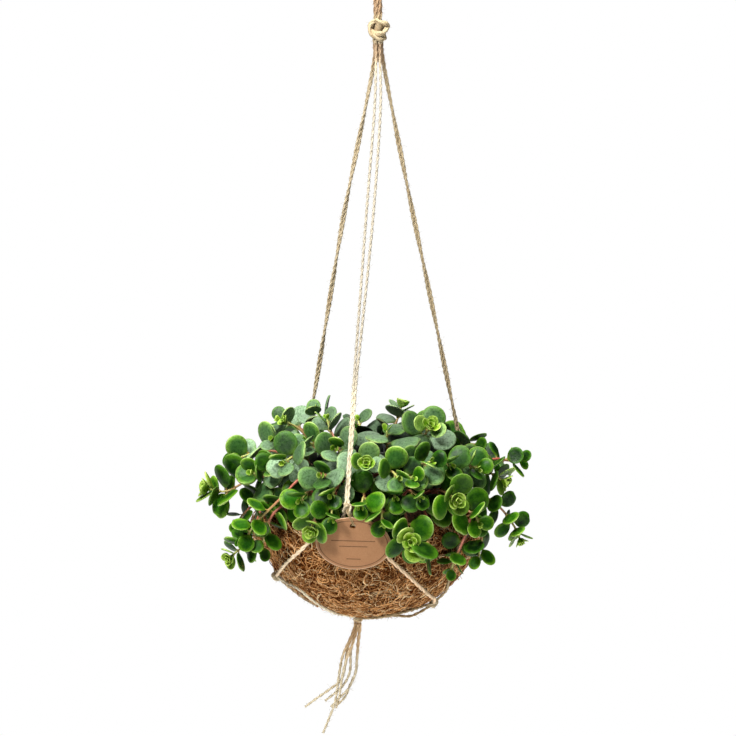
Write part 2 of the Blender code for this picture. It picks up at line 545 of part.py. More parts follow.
SHOOTS = [
    ("shoot_tag", [
        twig([(-3, -55), (-3, -70, 22), (-5, -89, 28), (-7, -101, 23)], 16, bare=0.4, roll=45),
        twig([(2, -84, 28), (8, -98, 22), (9, -106, 11)], 16, bare=0.2, roll=0, side=(0, 0.4)),
    ]),
    ("shoot_front_left", [
        twig([(-20, -50), (-24, -66, 24), (-28, -86, 25), (-29.5, -103, 14)], 16, bare=0.4, roll=10),
        branch([(-38, -84, 22), (-43, -96, 10), (-45, -106, 5)], 15, bare=0.0, roll=60, side=(0, 0.5)),
        twig([(-34, -74, 40), (-37, -90, 45)], 18, bare=0.0, roll=20, side=(0, 0.35)),
        twig([(-24, -80, 36), (-29, -96, 31)], 17, bare=0.1, roll=70, side=(0, 0.45)),
    ]),
    ("shoot_left_low", [
        twig([(-34, -45), (-40, -60, 24), (-48, -82, 30), (-53, -97, 27)], 17, roll=30),
        twig([(-58, -62, 22), (-75, -72, 10), (-82, -70, -8), (-84, -67, -20)], 13, bare=0.2,
             step=8, roll=20, side=(0, 0.35), turn=0.4),
    ]),
    ("shoot_long_stem", [
        twig([(-12, -38), (-24, -56, 34), (-48, -82, 44), (-70, -84, 24), (-89, -76, 3),
              (-97, -68, -12)], 14, bare=0.72, step=9, roll=0, turn=0.35),
    ]),
    ("shoot_left_hanging", [
        branch([(-48, -38), (-62, -46, 20), (-82, -52, 14), (-93, -49, -14), (-105, -48, -26),
                (-111, -55, -29)], 14, bare=0.3, step=9, roll=50),
        twig([(-88, -36, 12), (-99, -34, 2), (-106, -34, -8)], 12, bare=0.2, step=8, side=(0, 0.5)),
    ]),
    ("shoot_left_far", [
        branch([(-46, -14), (-62, -20, 28), (-90, -30, 30), (-113, -30, 19), (-130, -32, 22)], 18,
               bare=0.25, step=10, roll=65),
        twig([(-82, -42, 34), (-92, -50, 38)], 18, bare=0.1, roll=40, side=(0, 0.4)),
    ]),
    ("shoot_left_high", [
        twig([(-38, 4), (-52, 0, 34), (-76, -6, 46), (-94, -12, 45), (-105, -16, 42)], 18,
             bare=0.4, roll=60),
    ]),
    ("shoot_left_top", [
        branch([(-28, 0), (-38, -2, 40), (-54, -6, 62), (-68, -12, 72)], 14, roll=15),
        twig([(-58, -18, 50), (-76, -28, 60)], 17, bare=0.1, roll=30, side=(0, 0.35)),
    ]),
    ("shoot_left_mid", [
        twig([(-32, -24), (-42, -38, 38), (-56, -58, 53), (-66, -74, 52)], 18, roll=50),
        twig([(-60, -46, 46), (-76, -60, 46)], 18, bare=0.1, roll=20, side=(0, 0.4)),
    ]),
    ("shoot_top_left", [
        twig([(-16, -12), (-22, -20, 44), (-30, -24, 62), (-34, -22, 76)], 16, roll=0, turn=0.3),
        twig([(-40, -40, 56), (-50, -52, 64)], 16, bare=0.1, roll=40, side=(0, 0.35), turn=0.4),
        twig([(-22, -44, 52), (-27, -64, 60)], 18, bare=0.1, roll=10, side=(0, 0.15), turn=0.5),
    ]),
    ("shoot_front_top", [
        branch([(-4, -34), (-5, -50, 36), (-4, -72, 48), (-3, -88, 54)], 17, roll=35),
        twig([(9, -62, 40), (16, -80, 46), (21, -92, 44)], 16, bare=0.1, side=(0, 0.4)),
    ]),
    ("shoot_crown", [
        twig([(8, -14), (11, -30, 42), (13, -43, 56), (13, -47, 71)], 23, bare=0.4, roll=20, turn=0.1,
             lift=0.3),
    ]),
    ("shoot_right_top", [
        branch([(24, -8), (30, -12, 40), (41, -26, 60), (47, -42, 74)], 18, roll=40),
    ]),
    ("shoot_back_top", [
        branch([(10, 16), (14, 20, 44), (21, 27, 62), (26, 31, 78)], 15, roll=15),
        twig([(-4, 34, 50), (-10, 42, 62)], 17, bare=0.0, side=(0, 0.3)),
        twig([(30, 12, 44), (42, 5, 52)], 16, bare=0.1, roll=30, side=(0, 0.35)),
    ]),
    ("shoot_right_mid", [
        twig([(22, -36), (28, -50, 36), (38, -68, 48), (47, -82, 54)], 17, roll=0),
        twig([(50, -50, 50), (62, -70, 48)], 18, bare=0.1, roll=45, side=(0, 0.4)),
        twig([(26, -72, 40), (33, -90, 43)], 15, bare=0.1, roll=20, side=(0, 0.5)),
    ]),
    ("shoot_right_front", [
        branch([(38, -40), (46, -54, 24), (57, -74, 28), (66, -90, 26)], 18, roll=30),
        twig([(68, -66, 16), (80, -72, 10), (84, -76, 4)], 17, bare=0.0, side=(0, 0.45)),
    ]),
    ("shoot_right_low", [
        branch([(16, -54), (20, -66, 21), (26, -84, 16), (29, -94, 3), (30, -102, -3), (30.5, -111, -2)],
               19, bare=0.4, roll=10),
        twig([(40, -82, 18), (45, -98, 0), (40, -102, -14)], 21, bare=0.75, side=(0, 0.4)),
        twig([(18, -80, 32), (19, -97, 29)], 17, bare=0.1, roll=40, side=(0, 0.3)),
        twig([(30, -84, 32), (38, -97, 29)], 15, bare=0.1, roll=30, side=(0, 0.35)),
    ]),
    ("shoot_right_far", [
        branch([(50, -14), (62, -18, 30), (84, -26, 37), (107, -33, 27)], 16, bare=0.2, step=8, roll=30),
        twig([(98, -8, 40), (112, 4, 36), (123, 8, 36)], 13, bare=0.3, roll=0, side=(0, 0.5)),
        twig([(72, -36, 42), (84, -52, 42)], 16, bare=0.0, side=(0, 0.3)),
    ]),
    ("shoot_right_hanging", [
        branch([(54, -30), (66, -34, 18), (84, -35, 18), (101, -30, 7), (113, -32, -8),
                (119, -36, -21)], 13, bare=0.35, step=12, roll=20),
    ]),
    ("shoot_right_trailing", [
        twig([(48, -46), (58, -54, 14), (76, -64, 12), (86, -66, -8), (84, -63, -28)], 14,
             bare=0.45, step=10, roll=20),
        twig([(74, -72, -6), (66, -74, -24), (62, -72, -36)], 12, bare=0.3, side=(0, 0.55)),
    ]),
    ("shoot_back_left", [
        twig([(-20, 22), (-26, 30, 44), (-36, 38, 60), (-44, 38, 71)], 17, roll=30, turn=0.3),
        twig([(-56, 44, 54), (-74, 44, 62)], 17, bare=0.1, roll=0, side=(0, 0.35)),
        twig([(-42, 46, 40), (-62, 62, 38), (-74, 70, 22)], 17, bare=0.2, roll=40, side=(0, 0.25)),
        twig([(-44, 24, 36), (-70, 22, 34), (-90, 26, 20)], 17, bare=0.3, roll=20, side=(0, 0.2)),
    ]),
    ("shoot_back_right", [
        twig([(40, 24), (52, 32, 34), (70, 30, 46), (88, 26, 44)], 15, step=8, roll=20),
        branch([(52, 50, 44), (56, 72, 38), (58, 92, 22)], 18, bare=0.2, roll=50, side=(0, 0.3)),
        twig([(78, 46, 36), (94, 60, 22)], 17, bare=0.1, roll=20, side=(0, 0.5)),
        twig([(56, 16, 36), (76, 6, 38)], 17, bare=0.1, roll=30, side=(0, 0.2)),
    ]),
    ("shoot_back", [
        branch([(0, 42), (-2, 54, 34), (-4, 74, 36), (-8, 98, 20)], 20, roll=10),
        twig([(-34, 68, 38), (-48, 92, 24)], 18, bare=0.1, roll=40, side=(0, 0.4)),
        twig([(18, 66, 38), (30, 88, 30), (34, 102, 14)], 17, bare=0.1, roll=20, side=(0, 0.3)),
        twig([(-12, 46, 50), (-16, 34, 60)], 17, bare=0.1, roll=60, side=(0, 0.2)),
        twig([(-20, 88, 26), (-26, 102, 10)], 16, bare=0.1, roll=30, side=(0, 0.6)),
    ]),
]

# A leaf pair's size and lift, from the innermost pair outward along the stem
ROSETTE_PAIRS = ((0.46, 56.0), (0.7, 42.0), (0.9, 31.0), (1.0, 26.0))
TWIG_PAIRS = ((0.68, 62.0), (0.88, 44.0), (1.0, 32.0), (1.0, 24.0))
BUD = 4.0
FIRST_SPACING = 3.4
TWIG_SPACING = 6.0
SPACING_GROWTH = 1.28
NODE_SHARE = 0.7
BARE_SPACING = 12.0

# Leaf outline: share of the length, half width, rise of the rim and depth of the keel
LEAF_SECTIONS = ((0.36, 0.40, 0.02, -0.085), (0.74, 0.42, 0.03, -0.09))
SMALL_SECTIONS = ((0.5, 0.43, 0.02, -0.09),)
LEAF_FOOT = (0.10, 0.0, -0.06)
LEAF_TIP = (0.97, 0.20, 0.01)
LEAF_CURL = 0.08
# Where a leaf's blade starts along it, and the steepest lift that a leaf may take
BLADE_START = 0.14
STEEPEST = 74
# How far a rosette's leaves turn to the light, and what pulls every leaf besides the way out
ROSETTE_TURN = 0.15
LIGHT_PULL = Vector((0.0, -0.70, 0.40))

# Ways a leaf may turn aside for its neighbours: size, lift and swing
TRIES = [
    (size, lift, swing)
    for size in (1.0, 0.84)
    for lift, swing in ((0, 0), (14, 0), (-14, 0), (0, 18), (0, -18), (26, 10), (26, -10), (-26, 0))
]


def light_at(place):
    """The way a leaf likes to face: out of the clump, up, and to the front, where the light is."""
    out = (place - BOWL_AT).normalized()
    return (out + LIGHT_PULL).normalized()


def leaf_rings(node, side, size, pitch, swing, roll, grow=0.0, start=0.0):
    """The leaf's cross sections, each (left, keel, right), then the two tip points."""
    out = (Matrix.Rotation(math.radians(swing), 3, node["along"]) @ node["normals"][side]).normalized()
    lift = math.radians(pitch)
    reach = (out * math.cos(lift) + node["along"] * math.sin(lift)).normalized()
    face = (node["along"] * math.cos(lift) - out * math.sin(lift)).normalized()
    light = light_at(node["place"])
    light = light - reach * light.dot(reach)
    if light.length > 0.2 and face.dot(light) > -0.2 * light.length:
        face = face.lerp(light.normalized(), node["turn"]).normalized()
    face = (Matrix.Rotation(math.radians(roll), 3, reach) @ face).normalized()
    wide = reach.cross(face).normalized()
    base = node["place"] + node["normals"][side] * node["half"]
    length = size * MM
    extra = grow * MM

    def middle(share):
        return base + reach * length * share - face * length * LEAF_CURL * share * share

    sections = SMALL_SECTIONS if node["level"] < 1 else LEAF_SECTIONS
    rings = []
    for share, half, rise, keel in ((start, *LEAF_FOOT), *sections) if start else sections:
        rim = face * (length * rise + extra)
        spread = wide * (length * half + extra)
        spot = middle(share)
        rings.append([spot - spread + rim, spot + face * (length * keel - extra), spot + spread + rim])
    share, half, rise = LEAF_TIP
    spot = middle(share) + face * (length * rise + extra) + reach * extra
    spread = wide * (length * half + extra)
    return rings, [spot - spread, spot + spread]


def split(faces):
    """The faces as triangles, each quad cut from its first corner to its third."""
    return [(face[0], face[k], face[k + 1]) for face in faces for k in range(1, len(face) - 1)]


def bridge(low, high):
    """Quads between two rings with the same number of indexes."""
    count = len(low)
    return [(low[k], low[(k + 1) % count], high[(k + 1) % count], high[k]) for k in range(count)]


def foot_faces(quad, ring):
    """Faces from a stem's side, its corners in step with the leaf, to the leaf's first section."""
    a, b, c, d = quad
    left, keel, right = ring
    under = [(a, b, keel), (b, right, keel), (a, keel, left)]
    return [*under, (b, c, right), (c, d, left, right), (d, a, left)]


def tip_faces(ring, tips):
    """Faces that close a leaf's last section onto its two tip points."""
    left, keel, right = ring
    return [(left, keel, tips[0]), (keel, tips[1], tips[0]), (keel, right, tips[1]), (left, *tips, right)]


def leaf_faces(quad, chain, tips):
    """All of a leaf's faces by index, from the side of its stem to its tip."""
    faces = foot_faces(quad, chain[0])
    for one, two in zip(chain, chain[1:]):
        faces += bridge(one, two)
    return faces + tip_faces(chain[-1], tips)


def whole_tree(foot, rings, tips):
    """Search tree of a leaf with the four corners that it grows from."""
    verts = list(foot)
    chain = []
    for ring in rings:
        chain.append(list(range(len(verts), len(verts) + 3)))
        verts += ring
    end = [len(verts), len(verts) + 1]
    verts += tips
    faces = [(0, 1, 2, 3), *leaf_faces([0, 1, 2, 3], chain, end)]
    return BVHTree.FromPolygons(verts, split(faces)), box_of(verts)


def blade_tree(rings, tips):
    """Search tree of a leaf without its foot."""
    verts = [p for ring in rings for p in ring] + tips
    faces = [(0, 1, 2)]
    for k in range(len(rings) - 1):
        faces += bridge([3 * k + i for i in range(3)], [3 * k + 3 + i for i in range(3)])
    last = 3 * len(rings)
    faces += tip_faces([last - 3, last - 2, last - 1], [last, last + 1])
    return BVHTree.FromPolygons(verts, split(faces))


def side_of(low, high, side):
    """The four corners, or indexes, of one side of a node, between its two sections."""
    after = (side + 1) % 4
    return [low[side], low[after], high[after], high[side]]


def box_of(points):
    lows = [min(p[axis] for p in points) for axis in range(3)]
    highs = [max(p[axis] for p in points) for axis in range(3)]
    return lows, highs


def boxes_meet(one, two):
    return all(one[0][k] <= two[1][k] and two[0][k] <= one[1][k] for k in range(3))


def node_places(length, spec):
    """Distances of the nodes from the tip, close together first, and which carry leaves."""
    places = []
    gap = TWIG_SPACING if spec["shut"] else FIRST_SPACING
    reach = BUD
    while reach < length - 4.0:
        leafy = reach < length * (1 - spec["bare"])
        places.append((reach, leafy))
        reach += gap if leafy else BARE_SPACING
        gap = min(gap * SPACING_GROWTH, spec["step"])
    return places


def plan_stem(spec, path, start_normal):
    """A stem's leaf nodes, from its foot to its tip, each with the frame its leaves grow from."""
    total = length_of(path) / MM
    fine = resample(path, STEM_FINE)
    across = start_normal
    frames = []
    for k, place in enumerate(fine):
        along = (fine[min(k + 1, STEM_FINE - 1)] - fine[max(k - 1, 0)]).normalized()
        across = (across - along * across.dot(along)).normalized()
        frames.append((place, along, across.copy()))
    nodes = []
    marks = node_places(total, spec)
    for level, (reach, leafy) in enumerate(marks):
        share = 1 - reach / total
        place, along, across = frames[min(STEM_FINE - 1, round(share * (STEM_FINE - 1)))]
        nearest = marks[level][0] - (marks[level - 1][0] if level else 0.0)
        half = STEM_SIDE / 2 * (1 - STEM_TAPER * share)
        second = along.cross(across)
        nodes.append({
            "place": place, "along": along, "half": half * MM, "level": level, "leafy": leafy,
            "corners": (across, second), "height": min(half * 1.7, nearest * NODE_SHARE) * MM,
            "normals": [across, second, -across, -second], "leaves": {}, "share": share,
            "turn": spec["turn"] if spec["shut"] or level > 2 else ROSETTE_TURN,
        })
    nodes.reverse()
    return {"spec": spec, "nodes": nodes, "foot": frames[0], "end": frames[-1]}


def corner_ring(place, across, second, half):
    """The four corners of a square stem section."""
    return [
        place + (across - second) * half, place + (across + second) * half,
        place + (second - across) * half, place - (across + second) * half,
    ]


def node_rings(node):
    """Two sections at a node that leaves or a stem grow from, otherwise one."""
    rings = []
    for sign in (-0.5, 0.5) if node["leaves"] or node["leafy"] else (0.0,):
        middle = node["place"] + node["along"] * node["height"] * sign
        rings.append(corner_ring(middle, *node["corners"], node["half"]))
    return rings


def stem_rings(stem):
    """The stem's sections: foot, then each node's."""
    place, along, across = stem["foot"]
    rings = [corner_ring(place, across, along.cross(across), STEM_SIDE / 2 * MM)]
    for node in stem["nodes"]:
        rings += node_rings(node)
    return rings


def stem_tree(stem):
    verts = [p for ring in stem_rings(stem) for p in ring]
    count = len(verts) // 4
    verts.append(stem["end"][0])
    faces = [(0, 1, 2, 3)]
    for k in range(count - 1):
        faces += bridge([4 * k + i for i in range(4)], [4 * k + 4 + i for i in range(4)])
    last = 4 * count
    faces += [(last - 4 + k, last - 4 + (k + 1) % 4, last) for k in range(4)]
    return BVHTree.FromPolygons(verts, split(faces)), box_of(verts)


def soil_foot(tree, x, y):
    """Place on the soil where a stem rises, and the way it starts off."""
    spot, normal, _, _ = tree.ray_cast(at(x, y, 60), Vector((0, 0, -1)))
    return spot + normal * GAP * MM, normal


def plan_shoots(soil):
    """All stems of all shoots, still without leaves."""
    shoots = []
    for name, specs in SHOOTS:
        stems = []
        for spec in specs:
            if spec["side"] is None:
                foot, normal = soil_foot(soil, *spec["points"][0])
                rise = foot + normal * SOIL_START * MM
                path = smooth_path([foot, rise, *[at(*p) for p in spec["points"][1:]]], STEM_FINE)
                taken = None
            else:
                parent, share = spec["side"]
                nodes = stems[parent]["nodes"]
                node = min(nodes, key=lambda n: abs(n["share"] - share))
                aim = (at(*spec["points"][0]) - node["place"]).normalized()
                face = max(range(4), key=lambda k: node["normals"][k].dot(aim))
                foot = node["place"] + node["normals"][face] * node["half"]
                rise = foot + (node["normals"][face] * 0.7 + aim * 0.3).normalized() * SIDE_START * MM
                path = smooth_path([foot, rise, *[at(*p) for p in spec["points"]]], STEM_FINE)
                taken = (parent, nodes.index(node), face)
                node["leaves"][face] = "branch"
            across = (path[1] - path[0]).orthogonal().normalized()
            across = Matrix.Rotation(math.radians(spec["roll"]), 3, path[1] - path[0]) @ across
            stem = plan_stem(spec, path, across)
            stem["from"] = taken
            stems.append(stem)
        shoots.append((name, stems))
    return shoots


def grow_leaves(shoots, solids):
    """Give every node its leaves, innermost pairs first, where they clear all that is there."""
    stems = [(index, stem) for index, (_, stems) in enumerate(shoots) for stem in stems]
    blocks = [(*solid, None, None) for solid in solids]
    blocks += [(*stem_tree(stem), index, stem) for index, stem in stems]
    for level in range(max(len(stem["nodes"]) for _, stem in stems)):
        for index, stem in stems:
            for node in stem["nodes"]:
                if node["level"] != level or not node["leafy"]:
                    continue
                for side in (level % 2, level % 2 + 2):
                    if side in node["leaves"]:
                        continue
                    chosen = fit_leaf(stem, node, side, index, blocks)
                    if chosen:
                        node["leaves"][side] = chosen
    for _, stem in stems:
        for node in stem["nodes"]:
            node["leafy"] = False


def leaf_wish(stem, node, side, index):
    """The leaf that a node would grow with no neighbours in its way."""
    level = node["level"]
    spec = stem["spec"]
    luck = random.Random(index * 7919 + level * 104729 + side * 31 + spec["leaf"] * 10 + spec["roll"])
    pair, lift = (TWIG_PAIRS if spec["shut"] else ROSETTE_PAIRS)[min(level, 3)]
    size = LEAF_SCALE * spec["leaf"] * pair * luck.uniform(0.9, 1.08)
    pitch = lift * spec["lift"] + luck.uniform(-7, 7)
    return size, pitch, luck.uniform(-9, 9), luck.uniform(-10, 10)


def fit_leaf(stem, node, side, index, blocks):
    """The first way of turning a leaf that clears everything, or None."""
    size, pitch, swing, roll = leaf_wish(stem, node, side, index)
    for share, lift, aside in TRIES:
        shape = (size * share, min(pitch + lift, STEEPEST), swing + aside, roll)
        rings, tips = leaf_rings(node, side, *shape)
        foot = leaf_foot(side_of(*node_rings(node), side), rings[0])
        leaf, box = whole_tree(foot, rings, tips)
        swollen, wide_box = whole_tree(foot, *leaf_rings(node, side, *shape, grow=LEAF_LIFT))
        blade = blade_tree(*leaf_rings(node, side, *shape, grow=LEAF_LIFT, start=BLADE_START))
        clear = True
        for block, other, owner, wood in blocks:
            if owner != index:
                trials = (swollen, leaf)
            elif wood is stem:  # only the blade is tried, since the foot starts in this stem
                trials = (blade,)
            else:
                trials = (blade, leaf)
            if boxes_meet(wide_box, other) and any(trial.overlap(block) for trial in trials):
                clear = False
                break
        if clear:
            blocks.append((leaf, box, index, None))
            return shape
    return None


def build_shoot(name, stems, parent):
    """One closed skin: stems with square sections, each leaf drawn out of a side of its node."""
    verts = []
    faces = []
    sides = {}

    def add(points):
        verts.extend(points)
        return list(range(len(verts) - len(points), len(verts)))

    for number, stem in enumerate(stems):
        if stem["from"] is None:
            place, along, across = stem["foot"]
            below = add(corner_ring(place, across, along.cross(across), STEM_SIDE / 2 * MM))
            faces.append(tuple(below))
        else:
            below = sides[stem["from"]]
        for k, node in enumerate(stem["nodes"]):
            rings = [add(ring) for ring in node_rings(node)]
            joint = nearest_turn(below, rings[0], verts) if k == 0 and stem["from"] else rings[0]
            faces += bridge(below, joint)
            below = rings[-1]
            if len(rings) == 1:
                continue
            for side in range(4):
                quad = side_of(*rings, side)
                shape = node["leaves"].get(side)
                if shape == "branch":
                    sides[(number, k, side)] = quad
                elif shape:
                    leaf, tips = leaf_rings(node, side, *shape)
                    corners = {tuple(verts[i]): i for i in quad}
                    foot = [corners[tuple(p)] for p in leaf_foot([verts[i] for i in quad], leaf[0])]
                    faces += leaf_faces(foot, [add(ring) for ring in leaf], add(tips))
                else:
                    faces.append(tuple(quad))
        bud = add([stem["end"][0]])[0]
        faces += [(below[i], below[(i + 1) % 4], bud) for i in range(4)]
    return add_mesh(name, verts, split(faces), LEAF, parent)


def turns_of(ring):
    """The ring's indexes from each start, both ways round."""
    return [order[k:] + order[:k] for order in (ring, ring[::-1]) for k in range(len(ring))]


def faces_out(ring, out):
    return (ring[1] - ring[0]).cross(ring[2] - ring[1]).dot(out) > 0


def nearest_turn(quad, ring, verts):
    """The ring's indexes, started so that it meets the quad with least twist, the same way round."""
    low = [verts[k] for k in quad]
    out = sum((verts[k] for k in ring), Vector()) / 4 - sum(low, Vector()) / 4
    same = [
        order for order in turns_of(ring)
        if faces_out([verts[k] for k in order], out) == faces_out(low, out)
    ]
    return min(same, key=lambda o: sum((p - verts[k]).length for p, k in zip(low, o)))


def leaf_foot(corners, section):
    """The corners in step with a leaf section: two under the keel, then right and left."""
    left, keel, right = section
    aims = [(left + keel) / 2, (right + keel) / 2, right, left]
    out = keel - sum(corners, Vector()) / 4
    same = [order for order in turns_of(corners) if faces_out(order, out) == faces_out(aims, out)]
    return min(same, key=lambda o: sum((p - aim).length for p, aim in zip(o, aims)))


# ---------------------------------------------------------------- assembly


def main():
    clear_scene()
    root = bpy.data.objects.new("hung_sedum", None)
    bpy.context.collection.objects.link(root)
    bowl = make_bowl(root)
    soil = make_soil(root)
    for thing in (bowl, soil):
        thing.location = BOWL_AT
    knots = {name: place for name, place, *_ in KNOTS}
    trees = {}
    for name, place, radius, height, axis in KNOTS:
        trees[name] = tree_of(make_knot(name, place, radius, height, axis, root))
    make_loop(root)
    make_suspension(knots, trees, root)
    make_net(knots, trees, root)
    make_tails(root)
    tag = make_tag(root)
    strand("tag_tie", tie_places(tag), TIE_POINTS, root, start=trees["front_knot"], diameter=TAG_TWINE)

    solids = []
    for thing in list(bpy.data.objects):
        if thing.type in ("MESH", "CURVE") and not thing.hide_render:
            bpy.context.view_layer.update()
            corners = [thing.matrix_world @ Vector(c) for c in thing.bound_box]
            solids.append((tree_of(thing), box_of(corners)))
    shoots = plan_shoots(tree_of(soil))
    grow_leaves(shoots, solids)
    for name, stems in shoots:
        build_shoot(name, stems, root)


main()
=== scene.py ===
"""Looks of the hung sedum: round fleshy leaves in a coir bowl, in a knotted twine net.

Metres, +Z up, with the origin where the hook bears. Lists of places are in millimetres from the
centre of the bowl's rim plane, as in the part's own source, and at() turns them into metres.
"""

import math
import random

import bpy
import numpy as np
from mathutils import Matrix, Vector
from mathutils.bvhtree import BVHTree
from mathutils.kdtree import KDTree


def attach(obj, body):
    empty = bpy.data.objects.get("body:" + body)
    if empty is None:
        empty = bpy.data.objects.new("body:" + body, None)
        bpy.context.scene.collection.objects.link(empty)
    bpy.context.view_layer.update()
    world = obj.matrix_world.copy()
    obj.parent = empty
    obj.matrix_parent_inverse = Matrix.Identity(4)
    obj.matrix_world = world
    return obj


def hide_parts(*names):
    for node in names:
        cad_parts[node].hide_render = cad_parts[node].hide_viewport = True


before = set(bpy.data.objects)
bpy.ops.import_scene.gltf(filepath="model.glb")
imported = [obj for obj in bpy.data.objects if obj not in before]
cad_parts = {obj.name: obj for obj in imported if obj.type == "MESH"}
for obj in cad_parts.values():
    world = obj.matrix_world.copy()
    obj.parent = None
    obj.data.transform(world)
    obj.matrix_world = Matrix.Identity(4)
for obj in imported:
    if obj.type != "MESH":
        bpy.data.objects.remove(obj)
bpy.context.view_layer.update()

MM = 0.001
GAP = 0.3
BOWL_RADIUS = 91.0
BOWL_DEPTH = 87.6
BOWL_FULLNESS = 2.0
BOWL_WALL = 9.0
RIM_HEIGHT = 4.0
BOWL_AT = Vector((-6.0, 0.0, -438.0)) * MM
TWINE = 2.4
TAIL_TWINE = 2.0
PAIR_RADIUS = 0.95
TWIST_TURNS = 3.0
KNOT_DROP = 61.0
TOP_KNOT_HEIGHT = 17.6
EYE_WIDTH = 20.0
EYE_HEIGHT = 34.0
LOOP_STRAND = 4.0
LOOP_TWINE = 2.7  # each of its three strands
LOOP_ASIDE = 0.95  # of a strand from the eye's middle line
LOOP_TWIST = 2.3  # of a strand from the shank's middle line


# ---------------------------------------------------------------- camera, floor and light

CAMERA_AT = Vector((-7.6, -1950.4, 18.0)) * MM
CAMERA_AIM = Vector((-7.6, 19.2, -329.3)) * MM
SENSOR = 36.0
FOCAL_SHARE = 2500 / 736  # focal length as a share of the frame's width
FLOOR_Z = -0.80
FLOOR_RADIUS = 2.2
AMBIENT = 0.034  # the plain light from all round, beside the lamps


def make_camera():
    data = bpy.data.cameras.new("camera")
    data.sensor_width = SENSOR
    data.lens = FOCAL_SHARE * SENSOR
    data.clip_end = 50.0
    camera = bpy.data.objects.new("camera", data)
    camera.location = CAMERA_AT
    camera.rotation_euler = (CAMERA_AIM - CAMERA_AT).to_track_quat("-Z", "Y").to_euler()
    bpy.context.scene.collection.objects.link(camera)
    bpy.context.scene.camera = camera
    bpy.context.scene.view_settings.view_transform = "Standard"


def add_lamp(name, place, aim, size, power):
    data = bpy.data.lights.new(name, "AREA")
    data.shape = "DISK"
    data.size = size
    data.energy = power
    lamp = bpy.data.objects.new(name, data)
    lamp.location = place
    lamp.rotation_euler = (Vector(aim) - Vector(place)).to_track_quat("-Z", "Y").to_euler()
    bpy.context.scene.collection.objects.link(lamp)


def make_lamps():
    middle = (0.0, 0.0, -0.42)
    add_lamp("key", (-0.75, -1.0, 0.75), middle, 0.4, 32.5)
    add_lamp("top", (0.0, -0.35, 1.0), middle, 0.9, 28.0)
    add_lamp("fill", (0.75, -1.5, -0.75), middle, 0.7, 5.5)
    add_lamp("back", (0.2, 1.4, 0.6), middle, 1.0, 6.0)


def make_world():
    """White to the camera and to transmission rays; a plain dimmer light on the object."""
    world = bpy.data.worlds.new("studio")
    world.use_nodes = True
    tree = world.node_tree
    tree.nodes.clear()
    path = tree.nodes.new("ShaderNodeLightPath")
    seen = tree.nodes.new("ShaderNodeMath")
    seen.operation = "MAXIMUM"
    tree.links.new(path.outputs["Is Camera Ray"], seen.inputs[0])
    tree.links.new(path.outputs["Is Transmission Ray"], seen.inputs[1])
    level = tree.nodes.new("ShaderNodeMapRange")
    level.inputs["To Min"].default_value = AMBIENT
    level.inputs["To Max"].default_value = 1.0
    tree.links.new(seen.outputs[0], level.inputs["Value"])
    back = tree.nodes.new("ShaderNodeBackground")
    back.inputs["Color"].default_value = (1.0, 1.0, 1.0, 1.0)
    tree.links.new(level.outputs["Result"], back.inputs["Strength"])
    out = tree.nodes.new("ShaderNodeOutputWorld")
    tree.links.new(back.outputs[0], out.inputs["Surface"])
    bpy.context.scene.world = world


def make_floor():
    """A pale floor far under the bowl. It fades to plain white away from the shadow."""
    mesh = bpy.data.meshes.new("floor")
    rim = [(FLOOR_RADIUS * math.cos(a), FLOOR_RADIUS * math.sin(a), FLOOR_Z) for a in spread(0, math.tau, 48)]
    mesh.from_pydata(rim, [], [tuple(range(48))])
    floor = bpy.data.objects.new("floor", mesh)
    bpy.context.scene.collection.objects.link(floor)
    look = bpy.data.materials.new("floor")
    look.use_nodes = True
    tree = look.node_tree
    tree.nodes.clear()
    links = tree.links
    place = tree.nodes.new("ShaderNodeTexCoord")
    reach = tree.nodes.new("ShaderNodeVectorMath")
    reach.operation = "LENGTH"
    flat = tree.nodes.new("ShaderNodeVectorMath")
    flat.operation = "MULTIPLY"
    flat.inputs[1].default_value = (1.0, 1.0, 0.0)
    links.new(place.outputs["Object"], flat.inputs[0])
    links.new(flat.outputs[0], reach.inputs[0])
    far = tree.nodes.new("ShaderNodeMapRange")
    far.interpolation_type = "SMOOTHSTEP"
    far.inputs["From Min"].default_value = 0.25
    far.inputs["From Max"].default_value = 0.48
    links.new(reach.outputs["Value"], far.inputs["Value"])
    path = tree.nodes.new("ShaderNodeLightPath")
    seen = tree.nodes.new("ShaderNodeMath")
    seen.operation = "MULTIPLY"
    links.new(path.outputs["Is Camera Ray"], seen.inputs[0])
    links.new(far.outputs["Result"], seen.inputs[1])
    pale = tree.nodes.new("ShaderNodeBsdfDiffuse")
    pale.inputs["Color"].default_value = (0.93, 0.93, 0.93, 1.0)
    white = tree.nodes.new("ShaderNodeEmission")
    mix = tree.nodes.new("ShaderNodeMixShader")
    links.new(seen.outputs[0], mix.inputs["Fac"])
    links.new(pale.outputs[0], mix.inputs[1])
    links.new(white.outputs[0], mix.inputs[2])
    out = tree.nodes.new("ShaderNodeOutputMaterial")
    links.new(mix.outputs[0], out.inputs["Surface"])
    mesh.materials.append(look)


# ---------------------------------------------------------------- shared helpers


def spread(low, high, count):
    """Evenly spaced numbers from low up to, but not at, high."""
    return [low + (high - low) * k / count for k in range(count)]


def at(x, y, z):
    """World place, in metres, of a point given in millimetres from the bowl's centre."""
    return BOWL_AT + Vector((x, y, z)) * MM


def smooth_path(points, samples):
    """Evenly spaced samples of a Catmull-Rom curve through the points."""
    points = [Vector(p) for p in points]
    ends = [points[0] * 2 - points[1]] + points + [points[-1] * 2 - points[-2]]
    dense = []
    for a, b, c, d in zip(ends, ends[1:], ends[2:], ends[3:]):
        for step in range(40):
            t = step / 40
            bend = (a * 2 - b * 5 + c * 4 - d) * t * t
            twist = (b * 3 - a - c * 3 + d) * t * t * t
            dense.append(0.5 * (b * 2 + (c - a) * t + bend + twist))
    dense.append(points[-1])
    return resample(dense, samples)


